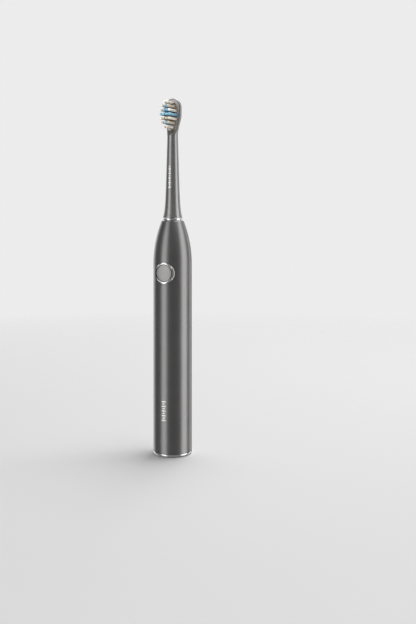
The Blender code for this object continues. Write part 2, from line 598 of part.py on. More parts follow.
def make_port():
    """Socket shell, tongue, small board, flex, the moulding round them and the hinged cover."""
    shell_front = PORT_FACE_Y - 2 * GAP
    shell_rear = shell_front - SOCKET_LENGTH
    outer = (SOCKET_HALF_WIDTH, SOCKET_HALF_HEIGHT)
    inner = (SOCKET_HALF_WIDTH - SOCKET_WALL, SOCKET_HALF_HEIGHT - SOCKET_WALL)

    def oval(name, half, rear, front, look, corner):
        return block(name, (-half[0], rear, PORT_Z - half[1]), (half[0], front, PORT_Z + half[1]), look, corner)

    shell = oval("usb_shell", outer, shell_rear, shell_front, STEEL, 0.95 * outer[1])
    shape(shell, oval("usb_mouth", inner, shell_rear - FAR, shell_front + FAR, CHIP_BLACK, 0.95 * inner[1]))
    root = (inner[0] - SEAM, inner[1] - SEAM)
    tongue = oval("usb_tongue", root, shell_rear + GAP, shell_rear + 2.0 * MM, CHIP_BLACK, 0.9 * root[1])
    blade = (3.35 * MM, 0.35 * MM)
    shape(tongue, oval("usb_blade", blade, shell_rear + 1.0 * MM, shell_front - 0.6 * MM, CHIP_BLACK, 0.1 * MM),
          "UNION")

    hole = (outer[0] + GAP, outer[1] + GAP)
    rear = shell_rear + SOCKET_LENGTH / 2
    side = COVER_HALF_WIDTH + MOULDING_MARGIN
    moulding = block("port_moulding", (-side, rear, BASE_PLUG_TOP + GAP),
                     (side, PORT_FACE_Y, SCREWS["board_screw_lower"] - DISC_THICKNESS / 2 - GAP), BASE_PLASTIC)
    shape(moulding, rod("moulding_round", HANDLE_R - SLEEVE_WALL - GAP, 0, SLEEVE_TOP, BASE_PLASTIC, steps=SLEEVE_STEPS),
          "INTERSECT")
    shape(moulding, oval("moulding_hole", hole, 0, FAR, CHIP_BLACK, 0.95 * hole[1]))

    board_top = PORT_Z - outer[1] - GAP
    board_low = board_top - 0.8 * MM
    board_front = -1.0 * MM
    block("usb_board", (-5.5 * MM, board_front, board_low), (5.5 * MM, rear - GAP, board_top), BOARD_GREEN)
    flex_z = (board_top + board_low) / 2
    sag = 1.2 * MM
    span = board_front - GAP + BOARD_BACK - GAP
    bend = [(board_front - GAP - span * t, flex_z - sag * math.sin(math.pi * t)) for t in
            [i / 8 for i in range(9)]]
    strip("usb_flex", bend, 3.0 * MM, 0.3 * MM, COPPER)

    low = PORT_Z - COVER_HALF_HEIGHT
    high = PORT_Z + COVER_HALF_HEIGHT
    cover = block("port_cover", (-COVER_HALF_WIDTH, PORT_FACE_Y + GAP, low), (COVER_HALF_WIDTH, FAR, high),
                  SEAL_RUBBER, corner=1.4 * MM)
    shape(cover, rod("cover_round", HANDLE_R, 0, SLEEVE_TOP, SEAL_RUBBER, steps=SLEEVE_STEPS), "INTERSECT")
    hinge_z = low + COVER_EDGE
    knuckle = rod("cover_knuckle", COVER_EDGE, -FAR, FAR, SEAL_RUBBER, at=(0, COVER_HINGE_Y, hinge_z), steps=24)
    knuckle.rotation_euler = (0, math.pi / 2, 0)
    corner_cut = block("cover_corner", (-FAR, COVER_HINGE_Y, low - GAP), (FAR, FAR, hinge_z), SEAL_RUBBER)
    shape(corner_cut, knuckle)
    shape(cover, corner_cut)
    pad = (SOCKET_HALF_WIDTH - SEAM, SOCKET_HALF_HEIGHT - SEAM)
    shape(cover, oval("cover_pad", pad, PORT_FACE_Y - GAP, PORT_FACE_Y + 2 * GAP, SEAL_RUBBER, 0.9 * pad[1]), "UNION")
    hang_on(joint_axis("cover_hinge", (0, COVER_HINGE_Y, hinge_z)), cover)


def smooth(t):
    """Zero below 0, one above 1, with a soft start and end."""
    t = min(1.0, max(0.0, t))
    return t * t * (3 - 2 * t)


def neck_radius(z):
    """The neck grows evenly towards the handle and flares out just above it."""
    return NECK_TOP_R + NECK_TAPER * (NECK_TOP_Z - z) + FLARE * math.exp(-(z - HEAD_BOTTOM) / FLARE_LENGTH)


def head_section(z, steps):
    """One outline of the head at a height: round in the neck, flat in front and rounded behind in the plate."""
    widen = smooth((z - PLATE_START) / (PLATE_FULL - PLATE_START))
    flatten = smooth((z - PLATE_START) / (PLATE_FLAT - PLATE_START))
    round_start = BRUSH_TOP - PLATE_HALF_WIDTH
    toward_tip = max(0.0, (z - round_start) / (BRUSH_TOP - round_start))
    end = math.sqrt(max(0.0, 1 - toward_tip ** 2))
    radius = neck_radius(z)
    half = (radius + (PLATE_HALF_WIDTH - radius) * widen) * end
    front = radius + (PLATE_FRONT - radius) * flatten
    back = radius + (PLATE_BACK - radius) * widen
    middle = 0.6 * MM * widen
    front_depth = (front + middle) * end ** 0.35
    back_depth = (back - middle) * end ** 0.6
    front_power = 2 / (2 + 3 * flatten)
    back_power = 2 / (2 + 0.4 * widen)
    outline = []
    for i in range(steps):
        angle = 2 * math.pi * i / steps
        across, deep = math.cos(angle), math.sin(angle)
        power, depth = (front_power, front_depth) if deep < 0 else (back_power, back_depth)
        x = math.copysign(abs(across) ** power, across) * half
        y = middle + math.copysign(abs(deep) ** power, deep) * depth
        outline.append((x, y, z))
    return outline


def loft(name, outlines, tip, look):
    """Closed skin through outlines with the same number of points, closed flat below and to one point above."""
    count = len(outlines[0])
    corners = [point for outline in outlines for point in outline] + [tip]
    faces = [tuple(reversed(range(count)))]
    for row in range(len(outlines) - 1):
        for i in range(count):
            j = (i + 1) % count
            low, high = row * count, (row + 1) * count
            faces.append((low + i, low + j, high + j, high + i))
    last = (len(outlines) - 1) * count
    faces += [(last + i, last + (i + 1) % count, len(corners) - 1) for i in range(count)]
    mesh = bpy.data.meshes.new(name)
    mesh.from_pydata(corners, [], faces)
    mesh.shade_smooth()
    return place(name, mesh, look)


def row_height(row):
    """Height of a row's centre; the field is centred on the straight part of the plate."""
    middle = BRUSH_TOP - 12.0 * MM
    return middle + (row - (len(TUFT_ROWS) - 1) / 2) * TUFT_PITCH_Z


def make_head():
    """Neck and plate in one moulding, hollow below for the core, with a slot for each row's strip."""
    flare = heights(HEAD_BOTTOM, HEAD_BOTTOM + 16 * MM, 7)
    neck = heights(HEAD_BOTTOM + 22 * MM, PLATE_START - 1 * MM, 4)
    plate = heights(PLATE_START, PLATE_FLAT, 5) + heights(PLATE_FLAT + 2 * MM, BRUSH_TOP - PLATE_HALF_WIDTH, 7)
    tip = [BRUSH_TOP - PLATE_HALF_WIDTH * (1 - math.sin(math.radians(a))) for a in (20, 38, 54, 68, 79, 86)]
    outlines = [head_section(z, HEAD_STEPS) for z in flare + neck + plate + tip]
    head = loft("head_body", outlines, (0, 0.6 * MM, BRUSH_TOP), HEAD_PLASTIC)

    core_top = HEAD_BOTTOM + SHAFT_ENGAGED + CORE_WALL_TOP + GAP
    shape(head, rod("core_bore", CORE_R + GAP, HEAD_BOTTOM - FAR, core_top + GAP, CHIP_BLACK, steps=SMALL_STEPS))

    pieces = [head]
    for row, count in enumerate(TUFT_ROWS):
        pieces.append(make_tuft_row(head, row, count))

    core_low = HEAD_BOTTOM + GAP
    groove_r = CORE_R - 2 * GAP - SEAM
    core = turned("head_core", [
        (0, core_top), (CORE_R, core_top), (CORE_R, CLIP_Z + CLIP_HALF + GAP), (groove_r, CLIP_Z + CLIP_HALF + GAP),
        (groove_r, CLIP_Z - CLIP_HALF - GAP), (CORE_R, CLIP_Z - CLIP_HALF - GAP), (CORE_R, core_low), (0, core_low),
    ], CORE_PLASTIC, steps=SMALL_STEPS)
    socket_top = HEAD_BOTTOM + SHAFT_ENGAGED + GAP
    socket = rod("core_socket", SHAFT_R + RUNNING, core_low - FAR, socket_top, CHIP_BLACK, steps=SMALL_STEPS)
    flat_low = HEAD_BOTTOM + 6 * MM + GAP
    flat_y = SHAFT_FLAT - SHAFT_R - RUNNING
    shape(socket, block("socket_flat", (-FAR, -FAR, flat_low), (FAR, flat_y, socket_top + FAR), CHIP_BLACK))
    shape(core, socket)
    clip = ring("grip_clip", groove_r + SEAM, CORE_R - SEAM, CLIP_Z - CLIP_HALF, CLIP_Z + CLIP_HALF, STEEL,
                steps=SMALL_STEPS)
    shape(clip, block("clip_mouth", (-1.5 * MM, 0, 0), (1.5 * MM, FAR, BRUSH_TOP), CHIP_BLACK))
    axis = joint_axis("head_travel", (0, 0, HEAD_BOTTOM))
    hang_on(axis, core, clip, *pieces)
    return axis


def make_tuft_row(head, row, count):
    """A strip set into the plate with its tufts standing on it."""
    z = row_height(row)
    look = (BRISTLE_WHITE, BRISTLE_CREAM, BRISTLE_WHITE, BRISTLE_BLUE, BRISTLE_WHITE, BRISTLE_CREAM,
            BRISTLE_WHITE)[row]
    name = f"tuft_row_{row + 1}"
    half_width = TUFT_PITCH_X * (count - 1) / 2 + TUFT_R + GAP
    front = -PLATE_FRONT
    rear = front + STRIP_DEPTH
    strip_low = (-half_width, front, z - STRIP_HALF)
    strip_high = (half_width, rear, z + STRIP_HALF)
    slot = block(name + "_slot", (strip_low[0] - GAP, front - FAR, strip_low[2] - SEAM),
                 (strip_high[0] + GAP, rear + GAP, strip_high[2] + SEAM), CHIP_BLACK)
    shape(head, slot)
    strip_block = block(name, strip_low, strip_high, look)
    away = row - (len(TUFT_ROWS) - 1) / 2
    reach = TUFT_REACH - TUFT_DROP * away * away
    length = reach - PLATE_FRONT
    sunk = STRIP_DEPTH / 2
    bm = bmesh.new()
    for i in range(count):
        x = TUFT_PITCH_X * (i - (count - 1) / 2)
        made = bmesh.ops.create_cone(bm, cap_ends=True, segments=8, radius1=TUFT_R, radius2=TUFT_R,
                                     depth=length + sunk)
        bmesh.ops.translate(bm, vec=(x, 0, (length + sunk) / 2), verts=made["verts"])
    mesh = bpy.data.meshes.new(name + "_tufts")
    bm.to_mesh(mesh)
    bm.free()
    tufts = place(name + "_tufts", mesh, look, (0, front + sunk, z))
    tufts.rotation_euler = (math.pi / 2, 0, 0)
    return shape(strip_block, tufts, "UNION")


make_sleeve()
make_base()
make_electronics()
make_button()
make_power()
frame_top = make_inner_frame()
drive_axis = make_drive(*make_motor())
make_nose(frame_top)
make_port()
head_axis = make_head()
hang_on(drive_axis, head_axis)
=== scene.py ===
"""Looks of the sonic toothbrush: metal handle, brush head with its filaments, covered charging socket.

Metres, +Z up along the brush, button and bristles towards -Y, charging socket towards +Y.
"""
import math

import bmesh
import bpy
import numpy as np
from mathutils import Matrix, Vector


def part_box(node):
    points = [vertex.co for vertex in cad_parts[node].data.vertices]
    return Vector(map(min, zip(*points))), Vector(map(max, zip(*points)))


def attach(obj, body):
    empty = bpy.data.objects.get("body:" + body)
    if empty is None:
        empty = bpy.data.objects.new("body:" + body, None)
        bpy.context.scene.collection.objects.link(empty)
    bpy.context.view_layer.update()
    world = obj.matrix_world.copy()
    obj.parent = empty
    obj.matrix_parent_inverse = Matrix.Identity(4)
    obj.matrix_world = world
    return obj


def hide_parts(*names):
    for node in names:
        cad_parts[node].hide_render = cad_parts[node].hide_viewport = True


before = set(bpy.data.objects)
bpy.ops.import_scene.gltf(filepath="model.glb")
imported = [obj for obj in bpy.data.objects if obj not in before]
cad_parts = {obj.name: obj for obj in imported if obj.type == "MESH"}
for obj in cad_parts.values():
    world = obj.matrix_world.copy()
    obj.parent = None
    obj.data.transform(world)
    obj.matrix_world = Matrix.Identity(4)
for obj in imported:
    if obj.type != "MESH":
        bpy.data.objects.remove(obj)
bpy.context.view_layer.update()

MM = 0.001
TURN = 2 * math.pi
GOLDEN_TURN = math.pi * (3 - math.sqrt(5))
EASE_STEPS = 5
CORNER_POINTS = EASE_STEPS + 2          # points that an eased corner gives

# Places that the frame gives
SLEEVE_LOW, SLEEVE_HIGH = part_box("handle_sleeve")
BASE_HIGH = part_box("base_cap")[1]
BASE_RING_LOW, BASE_RING_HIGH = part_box("base_ring")
BEZEL_LOW, BEZEL_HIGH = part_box("button_bezel")
CAP_LOW, CAP_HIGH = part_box("button_cap")
NECK_RING_LOW, NECK_RING_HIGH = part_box("neck_ring")
BOOT_LOW, BOOT_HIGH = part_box("shaft_boot")
SHAFT_LOW, SHAFT_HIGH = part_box("drive_shaft")
HEAD_LOW, HEAD_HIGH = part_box("head_body")
CORE_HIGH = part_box("head_core")[1]
CLIP_LOW, CLIP_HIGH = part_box("grip_clip")
COVER_LOW, COVER_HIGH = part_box("port_cover")
SOCKET_LOW, SOCKET_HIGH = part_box("usb_shell")

# Handle
HANDLE_R = SLEEVE_HIGH.x
SLEEVE_WALL = 1.1 * MM
SHOULDER_LENGTH = 30.2 * MM
SHOULDER_TOP_R = 7.7 * MM
SLEEVE_EDGE = 0.35 * MM
BASE_RING_WIDTH = 1.9 * MM
BASE_PLUG_WALL = 2.6 * MM
NECK_RING_BORE = 5.35 * MM
SEAM = 0.15 * MM
GAP = 0.3 * MM
CUT_FROM, CUT_TO = 6 * MM, 20 * MM      # reach of the tools that open the sleeve, from the handle's axis

# Button
BUTTON_Z = (BEZEL_LOW.z + BEZEL_HIGH.z) / 2
BEZEL_R = BEZEL_HIGH.x
BEZEL_HOLE = CAP_HIGH.x + 0.2 * MM
BEZEL_LAND = 0.4 * MM
LEDGE_WIDTH = 1.0 * MM
LEDGE_DROP = 1.6 * MM
CAP_CROWN = 0.4 * MM
CAP_THICKNESS = 1.3 * MM
CAP_POST_R = 1.6 * MM

# Head
NECK_TOP_R = 3.65 * MM
NECK_TOP_Z = HEAD_HIGH.z - 23.5 * MM
NECK_TAPER = 0.0285
FLARE = 1.55 * MM
FLARE_LENGTH = 5.5 * MM
PLATE_HALF_WIDTH = 6.4 * MM
PLATE_FRONT = 1.0 * MM
PLATE_BACK = 4.3 * MM
PLATE_START = HEAD_HIGH.z - 26.5 * MM
PLATE_FULL = HEAD_HIGH.z - 11.0 * MM
PLATE_FLAT = HEAD_HIGH.z - 21.8 * MM
PLATE_MIDDLE = 0.6 * MM                 # how far behind the shaft's axis the plate's section is centred
HEAD_RIM = 0.25 * MM
SHAFT_FLAT_Y = -1.4 * MM

# Bristles: one letter per tuft, left to right, from the lowest row up
TUFT_PITCH_X = 2.2 * MM
TUFT_PITCH_Z = 2.9 * MM
TUFTS_BELOW_TOP = 12.0 * MM
TUFT_R = 0.95 * MM
TUFT_HOLE_DEPTH = 0.7 * MM
TUFT_REACH = 12.3 * MM
TUFT_DROP = 0.11 * MM
TUFT_DOME = 0.25 * MM
TUFT_SPREAD = 0.08 * MM
TUFT_ROWS = ("WW", "TBT", "WTTW", "BBBB", "WBBW", "TBT", "WW")
FILAMENTS = 66
FILAMENT_R = 0.095 * MM
FILAMENT_TRIM = 0.14 * MM
FILAMENT_LEAN = 0.03 * MM
FILAMENT_BEND = 0.05 * MM

# Printed bars
BAR_SHARE = 0.42                        # of the pitch
SHORT_BAR = 0.55                        # of a long bar
INK = (0.62, 0.62, 0.61, 1)

# Socket
PORT_Z = (SOCKET_LOW.z + SOCKET_HIGH.z) / 2
COVER_CORNER = 1.4 * MM
COVER_DEPTH = 1.9 * MM
PAD_HALF_SIZES = 4.32 * MM, 1.45 * MM
PAD_CORNER = 1.30 * MM
WINDOW_CORNER = 1.5 * MM
SOCKET_WALL = 0.3 * MM


# ---------------------------------------------------------------- surfaces

def add(name, mesh):
    """Put a mesh into the scene as an object at the origin."""
    piece = bpy.data.objects.new(name, mesh)
    bpy.context.scene.collection.objects.link(piece)
    return piece


def skin(name, points, along=False, sharp=35.0):
    """Quads over a grid of points (rows, columns, 3) that runs round on itself.

    Corner (i, j) is joined to (i, j+1), (i+1, j+1) and (i+1, j). The last column is joined to the first, and
    with along the last row to the first. A row that shrinks to a point closes when the doubles are merged.
    """
    rows, columns = points.shape[:2]
    i = np.arange(rows if along else rows - 1)[:, None] * columns
    next_i = (i + columns) % (rows * columns)
    j = np.arange(columns)[None, :]
    next_j = (j + 1) % columns
    quads = np.stack([i + j, i + next_j, next_i + next_j, next_i + j], -1)
    mesh = bpy.data.meshes.new(name)
    mesh.from_pydata(points.reshape(-1, 3), [], quads.reshape(-1, 4))
    clean(mesh)
    mesh.shade_smooth()
    mesh.set_sharp_from_angle(angle=math.radians(sharp))
    return add(name, mesh)


def clean(mesh):
    """Merge doubles, drop what has no area and turn every face outwards."""
    bm = bmesh.new()
    bm.from_mesh(mesh)
    bmesh.ops.remove_doubles(bm, verts=bm.verts, dist=1e-6)
    bmesh.ops.dissolve_degenerate(bm, edges=bm.edges, dist=1e-6)
    bmesh.ops.recalc_face_normals(bm, faces=bm.faces)
    bm.to_mesh(mesh)
    bm.free()


def eased(corners, steps=EASE_STEPS):
    """Profile through (x, y, radius) corners, each replaced by a quadratic curve of so many steps.

    With A a radius before the corner P and B a radius after it, the curve is (1-t)^2 A + 2t(1-t) P + t^2 B.
    One more point a little further out on each side keeps the shading of the flats flat.
    """
    corners = np.array(corners, float)
    point, radius = corners[:, None, :2], corners[:, None, 2:]
    ahead = np.roll(point, -1, axis=0) - point
    ahead /= np.linalg.norm(ahead, axis=2, keepdims=True)
    behind = np.roll(ahead, 1, axis=0)
    t = np.linspace(0, 1, steps)[None, :, None]
    start, end = point - behind * radius, point + ahead * radius
    curve = (1 - t) ** 2 * start + 2 * t * (1 - t) * point + t ** 2 * end
    hold = 1.35 * radius
    return np.concatenate([point - behind * hold, curve, point + ahead * hold], 1).reshape(-1, 2)


def filled(profile, step):
    """The profile with extra points on its sides, one at every multiple of step along its length."""
    length = np.r_[0, np.cumsum(np.linalg.norm(np.diff(profile, axis=0), axis=1))]
    extra = np.arange(0, length[-1], step)
    where = np.unique(np.round(np.r_[length, extra], 9))
    return np.stack([np.interp(where, length, profile[:, k]) for k in (0, 1)], 1)


def spun(name, profile, steps=96, front_of=None, closed=True, sharp=35.0):
    """Profile (radius, height) carried round an axis: x = r cos a, y = r sin a, z = height.

    With front_of the axis points to -Y at that height: x = r cos a, y = -height, z = front_of + r sin a.
    """
    angle = np.linspace(0, TURN, steps, endpoint=False)[None, :]
    radius, height = profile[:, :1], profile[:, 1:] + 0 * angle
    across, up = radius * np.cos(angle), radius * np.sin(angle)
    grid = (across, up, height) if front_of is None else (across, -height, front_of + up)
    return skin(name, np.stack(grid, -1), along=closed, sharp=sharp)


def rounded_outline(half_width, half_height, corner, count):
    """Rounded rectangle as count points (x, z), evenly spaced along its length.

    Each quarter is its corner's centre plus corner times (cos a, sin a), and straight sides join them.
    """
    angle = np.linspace(0, TURN, 129)
    side = np.sign(np.cos(angle + 1e-6)), np.sign(np.sin(angle + 1e-6))
    x = side[0] * (half_width - corner) + corner * np.cos(angle)
    z = side[1] * (half_height - corner) + corner * np.sin(angle)
    length = np.r_[0, np.cumsum(np.hypot(np.diff(x), np.diff(z)))]
    where = np.linspace(0, length[-1], count, endpoint=False)
    return np.stack([np.interp(where, length, x), np.interp(where, length, z)], 1)


def cut(piece, tools):
    """Take the tools out of the piece, keep the result as its own mesh and remove the tools."""
    for tool in tools:
        change = piece.modifiers.new(tool.name, "BOOLEAN")
        change.object = tool
        change.solver = "EXACT"
        change.operation = "DIFFERENCE"
    bpy.context.view_layer.update()
    result = bpy.data.meshes.new_from_object(piece.evaluated_get(bpy.context.evaluated_depsgraph_get()))
    piece.modifiers.clear()
    piece.data = result
    result.name = piece.name
    for tool in tools:
        bpy.data.objects.remove(tool)
    result.shade_smooth()
    result.set_sharp_from_angle(angle=math.radians(30))
    return piece


def dress(piece, body, finish, slot, *stands_for):
    """Give a piece its material and its body, and hide the nodes that it stands for; slot is not used."""
    piece.data.materials.clear()
    piece.data.materials.append(finish)
    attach(piece, body)
    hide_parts(*stands_for)
    return piece


# ---------------------------------------------------------------- materials

class Socket:
    """A node's output; arithmetic on it adds Math nodes to the same material."""

    def __init__(self, finish, output):
        self.finish = finish
        self.output = output

    def math(self, operation, *others):
        """A Math node on this value and others."""
        return self.finish.node("Math", {"operation": operation}, dict(enumerate((self, *others))))

    def __add__(self, other):
        return self.math("ADD", other)

    def __sub__(self, other):
        return self.math("SUBTRACT", other)

    def __rsub__(self, other):
        return self.finish.node("Math", {"operation": "SUBTRACT"}, {0: other, 1: self})

    def __mul__(self, other):
        return self.math("MULTIPLY", other)

    def __truediv__(self, other):
        return self.math("DIVIDE", other)

    def __lt__(self, other):
        return self.math("LESS_THAN", other)

    def __gt__(self, other):
        return self.math("GREATER_THAN", other)

    def __abs__(self):
        return self.math("ABSOLUTE")

    __radd__ = __add__
    __rmul__ = __mul__


class Finish:
    """A Principled material in Object coordinates, and the nodes that vary it over a surface."""

    def __init__(self, name, color, roughness, metallic=0.0, **uniform):
        self.material = bpy.data.materials.new(name)
        self.material.use_nodes = True
        self.tree = self.material.node_tree
        self.shader = self.tree.nodes["Principled BSDF"]
        self.color = (*color, 1.0)
        self.material.diffuse_color = self.color
        self.feed(self.shader, {"Base Color": self.color, "Roughness": roughness, "Metallic": metallic})
        self.feed(self.shader, {key.replace("_", " "): value for key, value in uniform.items()})
        self.place = self.node("TexCoord", output="Object")

    def feed(self, node, inputs):
        """Link or set a node's sockets."""
        for key, value in inputs.items():
            if isinstance(value, Socket):
                self.tree.links.new(value.output, node.inputs[key])
            else:
                node.inputs[key].default_value = value

    def node(self, kind, settings=None, inputs=None, output=0):
        """A node of a type; its settings, a ramp's stops among them, are set before its sockets."""
        made = self.tree.nodes.new("ShaderNode" + kind)
        for key, value in (settings or {}).items():
            if key == "stops":
                ramp = made.color_ramp
                while len(ramp.elements) < len(value):
                    ramp.elements.new(0.5)
                for element, (position, shade) in zip(ramp.elements, value):
                    element.position = position
                    element.color = (shade, shade, shade, 1.0)
            else:
                setattr(made, key, value)
        self.feed(made, inputs or {})
        return Socket(self, made.outputs[output])

    def spots(self, scale):
        """Distance to the nearest of many scattered points."""
        return self.node("TexVoronoi", inputs={"Vector": self.place, "Scale": scale}, output="Distance")

    def axes(self):
        """The x, y and z of the surface."""
        split = self.node("SeparateXYZ", inputs={0: self.place})
        outputs = split.output.node.outputs
        return [Socket(self, outputs[k]) for k in range(3)]

    def noise(self, size, detail=2.0, stretch=(1, 1, 1)):
        """Noise from 0 to 1 with grains of about that size, made longer along an axis by its stretch."""
        scale = [1 / (size * s) for s in stretch]
        scaled = self.node("Mapping", inputs={"Vector": self.place, "Scale": scale})
        return self.node("TexNoise", inputs={"Vector": scaled, "Scale": 1.0, "Detail": detail}, output="Fac")

    def ramp(self, value, *stops):
        """The value carried through (position, level) stops."""
        return self.node("ValToRGB", {"stops": stops}, {0: value})

    def mix(self, mask, below, above):
        """One colour over another."""
        return self.node("Mix", {"data_type": "RGBA"}, {0: mask, 6: below, 7: above}, output=2)

    def shade(self, amount, below=0.8, above=1.2):
        """The base colour made darker and lighter by a value from 0 to 1."""
        dark = (*[c * below for c in self.color[:3]], 1.0)
        light = (*[min(1.0, c * above) for c in self.color[:3]], 1.0)
        return self.mix(amount, dark, light)

    def bump(self, height, distance, strength=1.0):
        """Relief from a height of 0 to 1."""
        normal = self.node("Bump", inputs={"Height": height, "Distance": distance, "Strength": strength})
        self.feed(self.shader, {"Normal": normal})

    def paint(self, **sockets):
        """Link or set the shader's own sockets, and hand the material over."""
        self.feed(self.shader, {key.replace("_", " "): value for key, value in sockets.items()})
        return self.material


def printed_bars(finish, low, high, half_width, count):
    """Mask of a row of short bars up the front centreline, each shorter or longer by turns."""
    x, y, z = finish.axes()
    pitch = (high - low) / count
    step = (z - low) / pitch
    inside = (z > low) * (z < high) * (y < 0.0)
    bar = step.math("FRACT") < BAR_SHARE
    long_bar = (step / 2).math("FRACT") < 0.5
    reach = half_width * SHORT_BAR + long_bar * (half_width * (1 - SHORT_BAR))
    return inside * bar * (abs(x) < reach)


def metal_paint(name, color, metallic, roughness, bars, **uniform):
    """Satin gunmetal with a fine grain, a soft cloud in its gloss and pale printed bars."""
    finish = Finish(name, color, roughness, metallic, **uniform)
    grain = finish.noise(0.22 * MM, 3.0)
    cloud = finish.noise(14 * MM, 2.0)
    ink = printed_bars(finish, *bars)
    base = finish.shade(grain * 0.6 + cloud * 0.4, 0.82, 1.18)
    finish.bump(grain, 0.004 * MM, 0.5)
    return finish.paint(
        Base_Color=finish.mix(ink, base, INK),
        Roughness=(roughness - 0.05 + grain * 0.05 + cloud * 0.06) * (1 - ink) + ink * 0.5,
        Metallic=(1 - ink) * metallic,
    )


def polished(name, color, roughness, wipe=0.05, metallic=1.0):
    """Bright metal with faint round polishing lines and a cloudy wipe."""
    finish = Finish(name, color, roughness, metallic)
    lines = finish.noise(0.08 * MM, 2.0, (6, 6, 1))
    cloud = finish.noise(3 * MM, 2.0)
    finish.bump(lines, 0.003 * MM, 0.25)
    return finish.paint(Base_Color=finish.shade(cloud, 0.94, 1.04), Roughness=roughness + cloud * wipe)


def moulded(name, color, roughness, grain_size=0.3 * MM, depth=0.015 * MM, **uniform):
    """Moulded plastic or rubber: spark-eroded grain and a slow change in gloss."""
    finish = Finish(name, color, roughness, **uniform)
    grain = finish.noise(grain_size, 4.0)
    cloud = finish.noise(6 * MM, 2.0)
    finish.bump(grain, depth, 0.6)
    return finish.paint(Base_Color=finish.shade(grain * 0.5 + cloud * 0.5, 0.85, 1.15),
                        Roughness=roughness - 0.06 + cloud * 0.12)


GUNMETAL = metal_paint("gunmetal", (0.303, 0.298, 0.297), 1.0, 0.38, (25.5 * MM, 40 * MM, 1.5 * MM, 9),
                       Anisotropic=0.5, Anisotropic_Rotation=0.25)
HEAD_PAINT = metal_paint("head_paint", (0.37, 0.364, 0.36), 0.95, 0.31, (187 * MM, 203 * MM, 0.9 * MM, 10))
CHROME = polished("bright_trim", (0.93, 0.93, 0.93), 0.20)
STEEL = polished("steel", (0.56, 0.56, 0.56), 0.24)
BASE_PLASTIC = moulded("base_plastic", (0.035, 0.035, 0.036), 0.52)
RUBBER = moulded("seal_rubber", (0.022, 0.022, 0.023), 0.62, 0.18 * MM, 0.01 * MM)
COVER_RUBBER = moulded("cover_rubber", (0.040, 0.040, 0.041), 0.55, 0.14 * MM, 0.012 * MM)
CORE_PLASTIC = moulded("core_plastic", (0.72, 0.72, 0.70), 0.42, 0.5 * MM, 0.008 * MM)
FRAME_PLASTIC = moulded("frame_plastic", (0.66, 0.66, 0.63), 0.5, 0.4 * MM, 0.012 * MM)
CHIP = moulded("chip_black", (0.018, 0.018, 0.019), 0.5, 0.12 * MM, 0.01 * MM)
WIRE_RED = moulded("wire_red", (0.42, 0.02, 0.015), 0.4, 0.6 * MM, 0.004 * MM)
WIRE_BLACK = moulded("wire_black", (0.015, 0.015, 0.015), 0.4, 0.6 * MM, 0.004 * MM)


def bezel_painted_highlights():
    """Bezel in dark satin, with painted highlights: bright metal colour on its outer lip and on the two arcs
    above and below the button, where its slope is nearly level.
    """
    finish = Finish("bezel_painted_highlights", (0.92, 0.92, 0.92), 0.26, 1.0)
    x, _, z = finish.axes()
    out = (x * x + (z - BUTTON_Z) * (z - BUTTON_Z)).math("SQRT") / BEZEL_R
    # Painted highlight: bright metal colour on the two arcs above and below the button, where the light
    # catches the slope.
    arcs = finish.ramp(abs(z - BUTTON_Z) / (out * BEZEL_R), (0.42, 0.0), (0.82, 1.0))
    # Painted highlight: a thin bright line round the outer lip.
    lip = finish.ramp(out, (0.965, 0.0), (0.975, 0.7))
    # Both painted highlights in one mask, over the dark satin.
    painted_highlight = (arcs * finish.ramp(out, (0.812, 0.0), (0.822, 1.0)) + lip).math("MINIMUM", 1.0)
    grain = finish.noise(0.12 * MM)
    finish.bump(grain, 0.002 * MM, 0.3)
    satin = finish.mix(grain, (0.085, 0.084, 0.082, 1), (0.105, 0.104, 0.102, 1))
    bright = finish.shade(finish.noise(3 * MM, 2.0), 0.94, 1.04)
    return finish.paint(Base_Color=finish.mix(painted_highlight, satin, bright), Roughness=0.34 - painted_highlight * 0.08)


def button_metal():
    """Dark cap turned on a lathe: fine rings round the button's axis, a little paler at its worn edge."""
    finish = Finish("button_face", (0.345, 0.34, 0.337), 0.34, 0.95)
    x, _, z = finish.axes()
    radius = (x * x + (z - BUTTON_Z) * (z - BUTTON_Z)).math("SQRT")
    rings = (radius * (TURN / (0.16 * MM))).math("SINE") * 0.5 + 0.5
    grain = finish.noise(0.3 * MM, 2.0)
    finish.bump(rings * 0.6 + grain * 0.4, 0.006 * MM, 0.5)
    worn = finish.ramp(radius / CAP_HIGH.x, (0.90, 0.0), (1.0, 1.0))
    base = finish.shade(grain, 0.85, 1.15)
    return finish.paint(Base_Color=finish.mix(worn, base, (0.42, 0.42, 0.42, 1)),
                        Roughness=0.30 + rings * 0.08)


def filament_nylon(name, root, tip):
    """Nylon that changes from root to tip along the filament, each filament a little different."""
    finish = Finish(name, root, 0.42, Specular_IOR_Level=0.4)
    along = finish.node("Attribute", {"attribute_name": "along"}, output="Fac")
    own = finish.node("Attribute", {"attribute_name": "own"}, output="Fac")
    color = finish.mix(finish.ramp(along, (0.75, 0.0), (1.0, 1.0)), (*root, 1), (*tip, 1))
    darker = finish.mix(own, (0.82, 0.82, 0.82, 1), (1, 1, 1, 1))
    multiply = {"data_type": "RGBA", "blend_type": "MULTIPLY"}
    both = finish.node("Mix", multiply, {0: 1.0, 6: color, 7: darker}, output=2)
    return finish.paint(Base_Color=both, Roughness=0.36 + own * 0.14)


def board_mask():
    """Solder mask with copper tracks under it and bare pads."""
    finish = Finish("board_green", (0.012, 0.13, 0.055), 0.38)
    tracks = finish.node("TexBrick", inputs={"Vector": finish.place, "Scale": 420.0, "Mortar Size": 0.02,
                                             "Color1": (0, 0, 0, 1), "Color2": (0.4, 0.4, 0.4, 1),
                                             "Mortar": (1, 1, 1, 1)}, output="Fac")
    pads = finish.spots(330.0) < 0.16
    green = finish.mix(tracks, finish.color, (0.03, 0.24, 0.10, 1))
    finish.bump(tracks * 0.5 + pads, 0.02 * MM, 0.6)
    return finish.paint(Base_Color=finish.mix(pads, green, (0.72, 0.70, 0.64, 1)), Metallic=pads)


